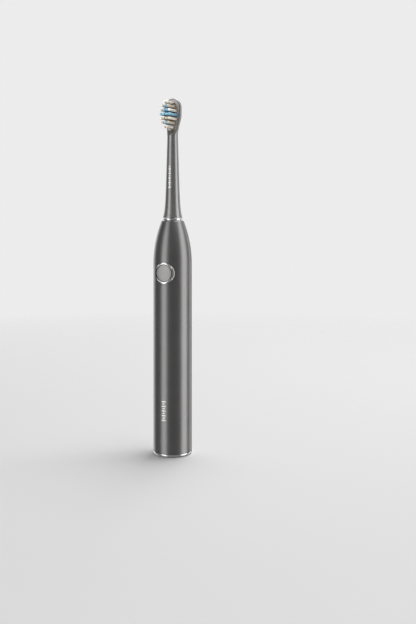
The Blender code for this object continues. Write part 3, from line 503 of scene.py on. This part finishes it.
def wound_copper():
    """Enamelled wire in close turns: each turn rounds up and falls to the next, with painted shade darkening
    the colour in the grooves between turns.
    """
    finish = Finish("copper", (0.64, 0.27, 0.11), 0.32, 1.0)
    z = finish.axes()[2]
    turns = (z * (TURN / (0.28 * MM))).math("SINE") * 0.5 + 0.5
    finish.bump(turns, 0.08 * MM, 0.8)
    # Painted shade: the colour follows the turns' relief, darker in the grooves between them and a little
    # lighter on their crests.
    return finish.paint(Base_Color=finish.shade(turns * 0.7 + finish.noise(1.5 * MM) * 0.3, 0.55, 1.15))


def shrink_film():
    """Blue shrink film, crinkled at the ends and with a paler band near the top."""
    low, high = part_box("battery_cell")
    finish = Finish("cell_wrap", (0.03, 0.17, 0.40), 0.3, Coat_Weight=0.3, Coat_Roughness=0.15)
    z = finish.axes()[2]
    crease = finish.noise(1.2 * MM, 3.0, (1, 1, 5))
    ends = finish.ramp(abs(z - (low.z + high.z) / 2) / ((high.z - low.z) / 2), (0.9, 0.0), (1.0, 1.0))
    band = (z > high.z - 5 * MM) * (z < high.z - 3.4 * MM)
    finish.bump(crease * (0.25 + ends * 0.75), 0.12 * MM, 0.5)
    return finish.paint(Base_Color=finish.mix(band, finish.shade(crease), (0.7, 0.72, 0.74, 1)))


def spotted_nickel():
    """Nickel strip with small spot-weld marks."""
    finish = Finish("nickel", (0.60, 0.58, 0.53), 0.28, 1.0)
    welds = finish.spots(700.0) < 0.22
    base = finish.shade(finish.noise(0.8 * MM))
    finish.bump(1 - welds, 0.05 * MM, 0.6)
    return finish.paint(Base_Color=finish.mix(welds, base, (0.25, 0.23, 0.2, 1)))


def sintered_bronze():
    """Porous bearing metal, with painted shade in its pores."""
    finish = Finish("bearing_bronze", (0.50, 0.33, 0.15), 0.42, 1.0)
    pores = finish.spots(5200.0) < 0.25
    base = finish.shade(finish.noise(0.5 * MM))
    finish.bump(1 - pores, 0.02 * MM, 0.6)
    # Painted shade: the pores, sunk by the bump, are coloured a dark shaded bronze.
    return finish.paint(Base_Color=finish.mix(pores, base, (0.16, 0.1, 0.05, 1)))


def contact_tongue():
    """Black tongue with a row of gilt contacts on both of its wide sides."""
    finish = Finish("contact_tongue", (0.02, 0.02, 0.021), 0.45)
    x, y, z = finish.axes()
    pitch = 0.5 * MM
    contact = ((x / pitch + 0.5).math("FRACT") < 0.56) * (abs(x) < 2.9 * MM) * (y > 5.2 * MM)
    contact = contact * (abs(z - PORT_Z) > 0.3 * MM)
    base = finish.shade(finish.noise(0.2 * MM))
    finish.bump(contact, 0.03 * MM, 0.5)
    return finish.paint(Base_Color=finish.mix(contact, base, (0.78, 0.55, 0.22, 1)), Metallic=contact,
                        Roughness=0.45 - contact * 0.2)


def printed_flex():
    """Amber film over parallel copper tracks."""
    finish = Finish("flex_film", (0.45, 0.22, 0.06), 0.3)
    x = finish.axes()[0]
    track = (x / (0.6 * MM)).math("FRACT") < 0.55
    base = finish.shade(finish.noise(1 * MM))
    finish.bump(track, 0.03 * MM, 0.5)
    return finish.paint(Base_Color=finish.mix(track, base, (0.62, 0.34, 0.10, 1)))


FINISHES = {
    "gunmetal": GUNMETAL, "bright_trim": CHROME, "base_plastic": BASE_PLASTIC, "button_face": button_metal(),
    "seal_rubber": RUBBER, "cover_rubber": COVER_RUBBER, "frame_plastic": FRAME_PLASTIC,
    "board_green": board_mask(), "chip_black": CHIP, "steel": STEEL,
    "magnet": polished("magnet", (0.42, 0.42, 0.44), 0.26), "copper": wound_copper(),
    "flex_film": printed_flex(), "bearing_bronze": sintered_bronze(), "cell_wrap": shrink_film(),
    "nickel": spotted_nickel(), "core_plastic": CORE_PLASTIC, "wire_red": WIRE_RED, "wire_black": WIRE_BLACK,
}

CARRIED_OVER = {
    "base_seal": "seal_rubber", "battery_cell": "cell_wrap", "battery_tab_negative": "nickel",
    "battery_tab_positive": "nickel", "board_screw_lower": "steel", "board_screw_upper": "steel",
    "button_seal": "seal_rubber", "charger_chip": "chip_black", "coil_lower": "copper",
    "coil_upper": "copper", "control_board": "board_green", "controller_chip": "chip_black",
    "damper_ring": "seal_rubber", "front_bearing": "bearing_bronze", "inner_frame": "frame_plastic",
    "magnet_left": "magnet", "magnet_right": "magnet", "motor_can": "steel",
    "motor_driver_chip": "chip_black", "motor_end_cap": "base_plastic", "motor_lead_black": "wire_black",
    "motor_lead_red": "wire_red", "nose_bulkhead": "base_plastic", "nose_seal": "seal_rubber",
    "port_moulding": "base_plastic", "rear_bearing": "bearing_bronze", "rotor_core": "steel",
    "tact_switch": "chip_black", "usb_board": "board_green", "usb_flex": "flex_film",
    "head_core": "core_plastic", "grip_clip": "steel",
}


def repaint(node, material):
    """Put a material on every slot of a CAD node."""
    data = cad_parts[node].data
    data.materials.clear()
    data.materials.append(material)


# ---------------------------------------------------------------- handle

def sleeve_radius(z):
    """A cylinder, then a circular shoulder that starts tangent to it: r = R - (S - sqrt(S^2 - along^2))."""
    drop = HANDLE_R - SHOULDER_TOP_R
    swing = (SHOULDER_LENGTH ** 2 + drop ** 2) / (2 * drop)
    along = np.maximum(0.0, z - (SLEEVE_HIGH.z - SHOULDER_LENGTH))
    return HANDLE_R - (swing - np.sqrt(swing ** 2 - along ** 2))


def make_sleeve():
    """Outer wall up, rounded lip, inner wall down, then the button's hole and the socket's window are cut."""
    low, high = SLEEVE_LOW.z, SLEEVE_HIGH.z
    shoulder = high - SHOULDER_LENGTH
    foot = eased([(HANDLE_R - SLEEVE_WALL, low, 0.1 * MM), (HANDLE_R, low, 0.2 * MM),
                  (HANDLE_R, low + 4 * MM, 0)])
    wall = np.linspace(low + 3 * MM, shoulder, 40)
    slope = np.linspace(shoulder, high - SLEEVE_EDGE, 26)[1:]
    outer = np.r_[wall, slope]
    top_r = sleeve_radius(np.array(high))
    turn = np.linspace(0, math.pi / 2, 7)[1:]
    lip = np.stack([top_r - SLEEVE_EDGE + SLEEVE_EDGE * np.cos(turn),
                    high - SLEEVE_EDGE + SLEEVE_EDGE * np.sin(turn)], 1)
    inner = np.r_[high, slope[::-2], shoulder, low + 1 * MM]
    profile = np.concatenate([
        foot[:2 * CORNER_POINTS], np.stack([sleeve_radius(outer), outer], 1), lip,
        np.stack([sleeve_radius(inner) - SLEEVE_WALL, inner], 1),
    ])
    sleeve = spun("sleeve", profile, 192)
    hole_r = BEZEL_R + SEAM
    reach = np.array([[0, CUT_FROM], [hole_r, CUT_FROM], [hole_r, CUT_TO], [0, CUT_TO]])
    hole = spun("button_hole_tool", reach, 96, front_of=BUTTON_Z)
    outline = rounded_outline(COVER_HIGH.x + SEAM, (COVER_HIGH.z - COVER_LOW.z) / 2 + GAP, WINDOW_CORNER, 96)
    window = outline_stack("window_tool", [(outline * 0, CUT_FROM), (outline, CUT_FROM), (outline, CUT_TO),
                                           (outline * 0, CUT_TO)])
    return cut(sleeve, [hole, window])


def at_depth(outline, y):
    """An outline (x, z) about the socket's centre, put at a y."""
    return np.stack([outline[:, 0], y + 0 * outline[:, 0], PORT_Z + outline[:, 1]], 1)


def outline_stack(name, levels, closed=False):
    """Outlines, each at its own y, joined in order."""
    return skin(name, np.stack([at_depth(outline, y) for outline, y in levels]), along=closed)


def make_base_ring():
    """Bright foot ring with a generous round below, as a closed profile."""
    inner, outer = BASE_RING_HIGH.x - BASE_RING_WIDTH, BASE_RING_HIGH.x
    low, high = BASE_RING_LOW.z, BASE_RING_HIGH.z
    profile = eased([(inner, low, 0.15 * MM), (outer, low, 1.45 * MM), (outer, high, 0.12 * MM),
                     (inner, high, 0.1 * MM)], 9)
    return spun("base_ring_fine", profile, 192)


def make_base_cap():
    """Foot with a shallow dish, a fine groove and a rounded edge, under the plug that fits the sleeve."""
    foot_r = HANDLE_R - BASE_RING_WIDTH - GAP
    plug_r = HANDLE_R - SLEEVE_WALL - GAP
    plug_low, top = SLEEVE_LOW.z + GAP, BASE_HIGH.z
    cup_r = plug_r - BASE_PLUG_WALL
    groove, dish = 0.3 * MM, 0.5 * MM
    profile = eased([
        (0, plug_low, 0), (cup_r, plug_low, 0.3 * MM), (cup_r, top, 0.3 * MM),
        (plug_r, top, 0.4 * MM), (plug_r, plug_low, 0.2 * MM), (foot_r, plug_low, 0.1 * MM),
        (foot_r, 0, 0.4 * MM), (9.6 * MM, 0, 0.12 * MM), (9.3 * MM, groove, 0.1 * MM),
        (8.9 * MM, groove, 0.1 * MM), (8.6 * MM, 0, 0.12 * MM), (6.2 * MM, 0, 0.4 * MM),
        (5.4 * MM, dish, 0.4 * MM), (0, dish, 0)])
    return spun("base_cap_fine", profile[CORNER_POINTS - 1:1 - CORNER_POINTS], 128, closed=False)


def make_bezel():
    """Ring round the button, level round the cap and meeting the handle's curve at its outer edge.

    With s from 0 at the land to 1 at the edge, r = land + s (R - land) and the height is
    face + (s - b sin(pi s)) (rim - face), where rim = sqrt(handle^2 - (R cos a)^2) follows the handle.
    """
    face, foot = -BEZEL_LOW.y, -BEZEL_HIGH.y
    ledge = face - CAP_CROWN - CAP_THICKNESS - LEDGE_DROP
    land, ledge_r = BEZEL_HOLE + BEZEL_LAND, BEZEL_HOLE - LEDGE_WIDTH
    angle = np.linspace(0, TURN, 144, endpoint=False)[None, :]
    rim = np.sqrt(HANDLE_R ** 2 - (BEZEL_R * np.cos(angle)) ** 2) + SEAM / 3
    s = np.linspace(0, 1, 12)[:, None]
    slope_r = land + (BEZEL_R - 0.12 * MM - land) * s + 0 * angle
    slope = face + (rim - face) * (s - 0.04 * np.sin(math.pi * s))
    turn = np.linspace(0, math.pi / 2, 5)[:-1, None]
    lip_r = BEZEL_HOLE + 0.25 * MM * (1 - np.cos(turn)) + 0 * angle
    lip = face - 0.25 * MM * (1 - np.sin(turn)) + 0 * angle
    rest = np.array([(BEZEL_R, 0.12 * MM), (BEZEL_R, 0.5 * MM)])[:, :, None] + 0 * angle
    corners = [(BEZEL_R, foot), (ledge_r, foot), (ledge_r, ledge), (BEZEL_HOLE, ledge)]
    below = np.array(corners)[:, :, None] + 0 * angle
    radius = np.concatenate([lip_r, slope_r, rest[:, 0], below[:, 0]])
    height = np.concatenate([lip, slope, rim - rest[:, 1], below[:, 1]])
    grid = np.stack([radius * np.cos(angle), -height, BUTTON_Z + radius * np.sin(angle)], -1)
    return skin("button_bezel_fine", grid, along=True)


def make_button():
    """Crowned cap, height = face - crown (r / R)^2, with a rounded edge and the post behind it."""
    face, plunger = -CAP_LOW.y, -CAP_HIGH.y
    radius, under, post = CAP_HIGH.x, face - CAP_CROWN - CAP_THICKNESS, CAP_POST_R
    rows = np.linspace(0, 1, 14)[:-1] * (radius - 0.45 * MM)
    crown = np.stack([rows, face - CAP_CROWN * (rows / radius) ** 2], 1)
    edge = face - CAP_CROWN
    side = eased([(radius - 0.6 * MM, edge + 0.03 * MM, 0), (radius, edge, 0.3 * MM),
                  (radius, under, 0.15 * MM), (post, under, 0.2 * MM), (post, plunger, 0.15 * MM),
                  (0, plunger, 0)])
    profile = np.concatenate([crown, side[CORNER_POINTS:1 - CORNER_POINTS]])
    return spun("button_cap_fine", profile, 128, front_of=BUTTON_Z, closed=False)


def make_neck_ring():
    """Bright ring at the top of the handle, with soft edges."""
    inner, outer = NECK_RING_BORE, NECK_RING_HIGH.x
    low, high = NECK_RING_LOW.z, NECK_RING_HIGH.z
    profile = eased([(inner, low, 0.1 * MM), (outer, low, 0.35 * MM), (outer, high, 0.35 * MM),
                     (inner, high, 0.1 * MM)], 8)
    return spun("neck_ring_fine", profile, 144)


def make_boot():
    """Soft boot round the shaft: a cone whose radius falls from foot to lip, with three rolled folds."""
    low, high = BOOT_LOW.z, BOOT_HIGH.z
    inner, foot, lip = 2.2 * MM, BOOT_HIGH.x, 2.8 * MM
    shoulder = high - 0.9 * MM
    t = np.linspace(0, 1, 40)
    z = shoulder + (high - shoulder) * t
    r = foot + (lip - foot) * t
    fold = 0.09 * MM
    folds = fold * np.cos(t * TURN * 3) * np.sin(t * math.pi)
    outside = np.stack([r + folds - fold, z], 1)
    profile = np.concatenate([[[inner, low], [foot - fold, low]], outside, [[inner, high]]])
    return spun("shaft_boot_fine", profile, 72)


def make_shaft():
    """Round bar with a clip groove and, above it, a milled flat: y is never less than the flat's."""
    radius, low, high = SHAFT_HIGH.x, SHAFT_LOW.z, SHAFT_HIGH.z
    clip = (CLIP_LOW.z + CLIP_HIGH.z) / 2
    half, flat_low = 1.8 * MM, HEAD_LOW.z + 6 * MM
    groove = radius - 0.3 * MM
    profile = eased([
        (0, low, 0), (radius, low, 0.3 * MM), (radius, flat_low, 0), (radius, clip - half, 0.05 * MM),
        (groove, clip - half, 0.05 * MM), (groove, clip + half, 0.05 * MM), (radius, clip + half, 0.05 * MM),
        (radius, high, 0.4 * MM), (0, high, 0)], 6)
    profile = filled(profile[7:-7], 2.5 * MM)
    profile = np.concatenate([[[0, low]], profile, [[0, high]]])
    angle = np.linspace(0, TURN, 64, endpoint=False)[None, :]
    r, z = profile[:, :1], profile[:, 1:] + 0 * angle
    y = r * np.sin(angle)
    y = np.where(z > flat_low + 1e-6, np.maximum(y, SHAFT_FLAT_Y), y)
    return skin("drive_shaft_fine", np.stack([r * np.cos(angle), y, z], -1))


# ---------------------------------------------------------------- brush head

def smooth(t):
    """0 below 0, 1 above 1, and 3t^2 - 2t^3 between."""
    t = np.clip(t, 0, 1)
    return t * t * (3 - 2 * t)


def head_surface(z, angle):
    """Outline at each height: a circle in the neck that turns into a plate, flat in front and rounded behind.

    x = half width times sign(cos a) |cos a|^p and y = middle plus depth times sign(sin a) |sin a|^p.
    The power p, the width and the depths in front and behind are blended from the neck to the plate, and
    shrink with e = sqrt(1 - t^2) over the rounded end.
    """
    widen = smooth((z - PLATE_START) / (PLATE_FULL - PLATE_START))
    flatten = smooth((z - PLATE_START) / (PLATE_FLAT - PLATE_START))
    round_start = HEAD_HIGH.z - PLATE_HALF_WIDTH
    toward_tip = np.clip((z - round_start) / (HEAD_HIGH.z - round_start), 0, 1)
    end = np.sqrt(1 - toward_tip ** 2)
    radius = NECK_TOP_R + NECK_TAPER * (NECK_TOP_Z - z) + FLARE * np.exp(-(z - HEAD_LOW.z) / FLARE_LENGTH)
    half = (radius + (PLATE_HALF_WIDTH - radius) * widen) * end
    middle = PLATE_MIDDLE * widen
    front_depth = (radius + (PLATE_FRONT - radius) * flatten + middle) * end ** 0.35
    back_depth = (radius + (PLATE_BACK - radius) * widen - middle) * end ** 0.6
    across, deep = np.cos(angle), np.sin(angle)
    in_front = deep < 0
    power = np.where(in_front, 2 / (2 + 3 * flatten), 2 / (2 + 0.4 * widen))
    depth = np.where(in_front, front_depth, back_depth)
    x = np.sign(across) * np.abs(across) ** power * half
    y = middle + np.sign(deep) * np.abs(deep) ** power * depth
    return np.stack([x, y, z + 0 * x], -1)


def row_height(row):
    """Height of a row's centre."""
    return HEAD_HIGH.z - TUFTS_BELOW_TOP + (row - (len(TUFT_ROWS) - 1) / 2) * TUFT_PITCH_Z


def tuft_places():
    """Centre x and z, row distance from the middle and colour letter of every tuft."""
    return [
        ((i - (len(row) - 1) / 2) * TUFT_PITCH_X, row_height(k), k - (len(TUFT_ROWS) - 1) / 2, letter)
        for k, row in enumerate(TUFT_ROWS) for i, letter in enumerate(row)
    ]


def make_head():
    """Down the core's bore, round the bottom rim and up the outer skin to the tip, then the tufts' holes."""
    angle = np.linspace(0, TURN, 112, endpoint=False)[None, :]
    low, bore_top, bore = HEAD_LOW.z, CORE_HIGH.z + GAP, 3.7 * MM
    circle = np.stack([np.cos(angle), np.sin(angle), 0 * angle], -1)
    up = np.array([0, 0, 1.0])
    inside = np.array([(0, bore_top), (bore, bore_top), (bore, low + 0.15 * MM), (bore + 0.15 * MM, low)])
    inner_rows = [circle * r + up * z for r, z in inside]
    turn = np.linspace(0, math.pi / 2, 6)[:-1]
    above = head_surface(np.array([[low + HEAD_RIM]]), angle) * [1, 1, 0]
    rim_rows = [above - circle * HEAD_RIM * (1 - math.sin(a)) + up * (low + HEAD_RIM * (1 - math.cos(a)))
                for a in turn]
    neck = np.linspace(low + HEAD_RIM, PLATE_START, 44)
    plate = np.linspace(PLATE_START, HEAD_HIGH.z - PLATE_HALF_WIDTH, 44)[1:]
    tip = HEAD_HIGH.z - PLATE_HALF_WIDTH * (1 - np.sin(np.linspace(0, math.pi / 2, 26)[1:-1]))
    outer = head_surface(np.r_[neck, plate, tip][:, None], angle)
    pole = np.zeros((1, angle.size, 3)) + [0, PLATE_MIDDLE, HEAD_HIGH.z]
    head = skin("head_body_fine", np.concatenate([*inner_rows, *rim_rows, outer, pole]))
    return cut(head, [tuft_hole_tool()])


def tuft_hole_tool():
    """One short cylinder per tuft, all in one mesh: centre plus r (cos a, sin a) at two depths."""
    centre = np.array([(x, z) for x, z, *_ in tuft_places()])[:, None, None, :]
    angle = np.linspace(0, TURN, 28, endpoint=False)[None, None, :]
    r = np.array([0, 1, 1, 0])[None, :, None] * (TUFT_R * 0.98)
    y = np.array([-1, -1, 1, 1])[None, :, None] * TUFT_HOLE_DEPTH - PLATE_FRONT + 0 * angle
    grid = np.stack([centre[..., 0] + r * np.cos(angle), y + 0 * centre[..., 0],
                     centre[..., 1] + r * np.sin(angle)], -1)
    tubes, rows, columns = grid.shape[:3]
    i, j = np.arange(rows - 1)[None, :, None], np.arange(columns)[None, None, :]
    first = np.arange(tubes)[:, None, None] * rows * columns
    quads = np.stack([first + i * columns + j, first + i * columns + (j + 1) % columns,
                      first + (i + 1) * columns + (j + 1) % columns, first + (i + 1) * columns + j], -1)
    mesh = bpy.data.meshes.new("tuft_hole_tool")
    mesh.from_pydata(grid.reshape(-1, 3), [], quads.reshape(-1, 4))
    clean(mesh)
    return add("tuft_hole_tool", mesh)


def make_bristles(name, letter, seed):
    """All filaments of one colour in one mesh.

    Roots lie on a sunflower spiral, r = R sqrt((k + 1/2) / n) at k golden turns. A filament leans outwards
    in proportion to r, bends by a small random amount times t^2, and ends in a rounded tip at the row's
    trimmed height.
    """
    rng = np.random.default_rng(seed)
    tufts = np.array([(x, z, away) for x, z, away, own in tuft_places() if own == letter])
    k = np.arange(FILAMENTS)
    spiral_r, spiral_a = np.sqrt((k + 0.5) / FILAMENTS), k * GOLDEN_TURN
    count = len(tufts) * FILAMENTS
    unit = np.stack([np.cos(spiral_a), np.sin(spiral_a)], 1) * spiral_r[:, None]
    unit = np.tile(unit, (len(tufts), 1))
    root = np.repeat(tufts[:, :2], FILAMENTS, 0) + unit * (TUFT_R - FILAMENT_R) * 0.9
    away = np.repeat(tufts[:, 2], FILAMENTS)
    dome = np.linalg.norm(unit, axis=1) ** 2 * TUFT_DOME
    reach = TUFT_REACH - TUFT_DROP * away ** 2 - dome - rng.uniform(0, FILAMENT_TRIM, count)
    lean = unit * TUFT_SPREAD + rng.normal(0, FILAMENT_LEAN, (count, 2))
    bend = rng.normal(0, FILAMENT_BEND, (count, 2))
    t = np.array([0, 0.35, 0.7, 0.990, 0.997, 1.0])
    width = np.array([1, 1, 1, 1, 0.8, 0.0]) * FILAMENT_R
    start = PLATE_FRONT - 0.5 * MM
    depth = start + (reach[:, None] - start) * t
    line = root[:, None, :] + lean[:, None, :] * t[:, None] + bend[:, None, :] * (t ** 2)[:, None]
    side = np.linspace(0, TURN, 6, endpoint=False)
    x = line[:, :, None, 0] + width[:, None] * np.cos(side)
    z = line[:, :, None, 1] + width[:, None] * np.sin(side)
    grid = np.stack([x, -depth[:, :, None] + 0 * x, z], -1)
    rows, columns = len(t), len(side)
    points = np.concatenate([grid[:, :-1].reshape(count, -1, 3), grid[:, -1, :1]], 1)
    block = points.shape[1]
    i, j = np.arange(rows - 2)[:, None], np.arange(columns)[None, :]
    quads = np.stack([i * columns + j, (i + 1) * columns + j, (i + 1) * columns + (j + 1) % columns,
                      i * columns + (j + 1) % columns], -1).reshape(-1, 4)
    last = (rows - 2) * columns
    tips = np.stack([last + j[0], np.full(columns, block - 1), last + (j[0] + 1) % columns], 1)
    first = (np.arange(count) * block)[:, None, None]
    feet = j + first[:, :, 0]
    faces = [*(quads + first).reshape(-1, 4).tolist(), *(tips + first).reshape(-1, 3).tolist(),
             *feet.tolist()]
    mesh = bpy.data.meshes.new(name)
    mesh.from_pydata(points.reshape(-1, 3), [], faces)
    mesh.shade_smooth()
    along = np.concatenate([np.repeat(t[:-1], columns), t[-1:]])
    own = rng.uniform(0, 1, count)
    for attribute, values in (("along", np.tile(along, count)), ("own", np.repeat(own, block))):
        mesh.attributes.new(attribute, "FLOAT", "POINT").data.foreach_set("value", values.astype(np.float32))
    return add(name, mesh)


# ---------------------------------------------------------------- charging socket

def make_cover():
    """Curved flap on the handle's radius, with rounded edges, a nail notch and a pad that plugs the socket.

    Rows run from the middle of the front, over the edge, to the middle of the back. In front
    y = sqrt(R^2 - x^2) less a notch that falls off as exp(-(x/a)^2 - (z/b)^2) from the upper edge.
    """
    half_width, half_height = COVER_HIGH.x, (COVER_HIGH.z - COVER_LOW.z) / 2
    count, back = 120, COVER_HIGH.y - COVER_DEPTH
    pad = rounded_outline(*PAD_HALF_SIZES, PAD_CORNER, count)

    def inset(by):
        """The cover's outline, drawn in on every side."""
        return rounded_outline(half_width - by, half_height - by, COVER_CORNER - by, count)

    def front(outline, sunk=0.0):
        """An outline laid on the handle's radius, notched and sunk."""
        x, z = outline[:, 0], outline[:, 1]
        notch = 0.5 * MM * np.exp(-(x / (2.4 * MM)) ** 2 - ((z - half_height) / (0.9 * MM)) ** 2)
        return np.stack([x, np.sqrt(HANDLE_R ** 2 - x ** 2) - notch - sunk, PORT_Z + z], 1)

    over = [(0.30, 0.0), (0.16, 0.03), (0.06, 0.10), (0.0, 0.28)]
    rows = [front(inset(0.30 * MM) * share) for share in np.linspace(0, 1, 14)[:-1]]
    rows += [front(inset(by * MM), sunk * MM) for by, sunk in over]
    pad_end = back - 0.6 * MM
    behind = [(inset(0.0), back + 0.25 * MM), (inset(0.07 * MM), back + 0.07 * MM), (inset(0.25 * MM), back),
              (pad, back), (pad, back - 0.5 * MM), (pad * 0.95, pad_end), (pad * 0, pad_end)]
    rows += [at_depth(outline, y) for outline, y in behind]
    return skin("port_cover_fine", np.stack(rows))


def make_socket():
    """Drawn steel shell: its wall's section, with a rolled front edge, carried round the oval."""
    half_width, half_height = SOCKET_HIGH.x, (SOCKET_HIGH.z - SOCKET_LOW.z) / 2
    front, rear = SOCKET_HIGH.y, SOCKET_LOW.y
    section = eased([(0, rear, 0.05 * MM), (0, front, 0.14 * MM), (SOCKET_WALL, front, 0.12 * MM),
                     (SOCKET_WALL, rear, 0.05 * MM)])
    corner = 0.95 * half_height
    levels = [(rounded_outline(half_width - by, half_height - by, corner - by, 96), y) for by, y in section]
    return outline_stack("usb_shell_fine", levels, closed=True)


# ---------------------------------------------------------------- assembly

for node, slot in CARRIED_OVER.items():
    repaint(node, FINISHES[slot])
repaint("usb_tongue", contact_tongue())

dress(make_sleeve(), "handle", GUNMETAL, "gunmetal", "handle_sleeve")
dress(make_base_ring(), "handle", CHROME, "bright_trim", "base_ring")
dress(make_base_cap(), "handle", BASE_PLASTIC, "base_plastic", "base_cap")
dress(make_bezel(), "handle", bezel_painted_highlights(), "bright_trim", "button_bezel")
dress(make_button(), "button", FINISHES["button_face"], "button_face", "button_cap")
dress(make_neck_ring(), "handle", CHROME, "bright_trim", "neck_ring")
dress(make_boot(), "handle", RUBBER, "seal_rubber", "shaft_boot")
dress(make_shaft(), "drive", STEEL, "steel", "drive_shaft")
dress(make_head(), "brush_head", HEAD_PAINT, "head_plastic", "head_body")
dress(make_cover(), "port_cover", COVER_RUBBER, "cover_rubber", "port_cover")
dress(make_socket(), "handle", STEEL, "steel", "usb_shell")

WHITE_NYLON = filament_nylon("bristle_white", (0.88, 0.80, 0.70), (0.93, 0.89, 0.83))
TAN_NYLON = filament_nylon("bristle_tan", (0.66, 0.56, 0.41), (0.76, 0.69, 0.56))
BLUE_NYLON = filament_nylon("bristle_blue", (0.30, 0.60, 0.77), (0.40, 0.67, 0.81))
dress(make_bristles("bristles_white", "W", 11), "brush_head", WHITE_NYLON, "bristle_white",
      "tuft_row_1", "tuft_row_3", "tuft_row_5", "tuft_row_7")
dress(make_bristles("bristles_tan", "T", 12), "brush_head", TAN_NYLON, "bristle_cream",
      "tuft_row_2", "tuft_row_6")
dress(make_bristles("bristles_blue", "B", 13), "brush_head", BLUE_NYLON, "bristle_blue", "tuft_row_4")


# ---------------------------------------------------------------- studio

CAMERA_TURN = math.radians(25)
CAMERA_DISTANCE = 0.575
CAMERA_HEIGHT = 0.165
CAMERA_ASIDE = 0.025
CAMERA_LENS = 46.98
CAMERA_SHIFT_Y = -0.149
FLOOR_R = 1.6
LIGHT_LEVEL = 0.17
BACKDROP_LEVEL = 0.84


def toward(azimuth, distance, height):
    """A point at an azimuth in degrees, measured as the camera's is."""
    angle = math.radians(azimuth)
    return Vector((math.sin(angle) * distance, -math.cos(angle) * distance, height))


def make_camera():
    """Level camera, a little to the side of the brush, so that the brush stands left of the middle."""
    data = bpy.data.cameras.new("camera")
    data.lens = CAMERA_LENS
    data.shift_y = CAMERA_SHIFT_Y
    camera = bpy.data.objects.new("camera", data)
    aside = Vector((math.cos(CAMERA_TURN), math.sin(CAMERA_TURN), 0)) * CAMERA_ASIDE
    camera.location = toward(math.degrees(CAMERA_TURN), CAMERA_DISTANCE, CAMERA_HEIGHT) + aside
    camera.rotation_euler = (math.pi / 2, 0, CAMERA_TURN)
    bpy.context.scene.collection.objects.link(camera)
    bpy.context.scene.camera = camera


def make_softbox(name, azimuth, distance, height, width, tall, radiance, aim=0.1, receivers=None,
                 in_gloss=True):
    """Area light that faces the brush; its power is pi times its area times the radiance that it shows."""
    data = bpy.data.lights.new(name, "AREA")
    data.shape = "RECTANGLE"
    data.size, data.size_y, data.energy = width, tall, math.pi * width * tall * radiance
    light = bpy.data.objects.new(name, data)
    light.location = toward(azimuth, distance, height)
    light.rotation_euler = (Vector((0, 0, aim)) - light.location).to_track_quat("-Z", "Y").to_euler()
    light.visible_camera = False
    light.visible_glossy = in_gloss
    light.light_linking.receiver_collection = receivers
    bpy.context.scene.collection.objects.link(light)


def make_floor():
    """Pale disc at z = 0 that fades out towards its rim; reflections leave it out and it casts no shadow."""
    r = np.array([0, 0.1, 0.3, 0.8, FLOOR_R])[:, None]
    angle = np.linspace(0, TURN, 96, endpoint=False)[None, :]
    floor = skin("floor", np.stack([r * np.cos(angle), r * np.sin(angle), 0 * r * angle], -1))
    finish = Finish("floor_paper", (0.86, 0.86, 0.86), 0.7, Specular_IOR_Level=0.2)
    x, y, _ = finish.axes()
    distance = (x * x + y * y).math("SQRT")
    solid = finish.ramp(distance / FLOOR_R, (0.12, 1.0), (0.55, 0.0))
    finish.bump(finish.noise(0.6 * MM), 0.02 * MM, 0.3)
    floor.data.materials.append(finish.paint(Alpha=solid))
    if floor.data.polygons[0].normal.z < 0:
        floor.data.flip_normals()
    floor.visible_glossy = False
    floor.visible_shadow = False
    return floor


def without(floor):
    """Receivers of a light that shines on everything except the floor."""
    receivers = bpy.data.collections.new("brush_only")
    receivers.objects.link(floor)
    receivers.collection_objects[0].light_linking.link_state = "EXCLUDE"
    return receivers


def make_world():
    """Even pale light, dimmer on the brush than straight into the camera."""
    world = bpy.data.worlds.new("studio")
    world.use_nodes = True
    tree = world.node_tree
    background = tree.nodes["Background"]
    rays = tree.nodes.new("ShaderNodeLightPath")
    level = tree.nodes.new("ShaderNodeMix")
    level.inputs["A"].default_value = LIGHT_LEVEL
    level.inputs["B"].default_value = BACKDROP_LEVEL
    tree.links.new(rays.outputs["Is Camera Ray"], level.inputs["Factor"])
    tree.links.new(level.outputs["Result"], background.inputs["Strength"])
    background.inputs["Color"].default_value = (1, 1, 1, 1)
    bpy.context.scene.world = world


make_camera()
make_world()
brush_only = without(make_floor())
make_softbox("left_strip", -25, 0.8, 0.12, 0.46, 1.6, 1.15, receivers=brush_only)
make_softbox("right_box", 103, 0.8, 0.12, 0.58, 1.6, 1.40, receivers=brush_only)
make_softbox("left_rim", -120, 0.8, 0.12, 0.44, 1.6, 0.9, receivers=brush_only)
make_softbox("right_rim", 160, 0.8, 0.12, 0.30, 1.6, 0.9, receivers=brush_only)
make_softbox("overhead", 160, 0.5, 1.5, 1.3, 1.3, 4.4, aim=0.0)
make_softbox("fill", 5, 1.2, 0.8, 1.2, 1.2, 6.5, aim=0.15, receivers=brush_only, in_gloss=False)
bpy.context.scene.view_settings.view_transform = "Standard"
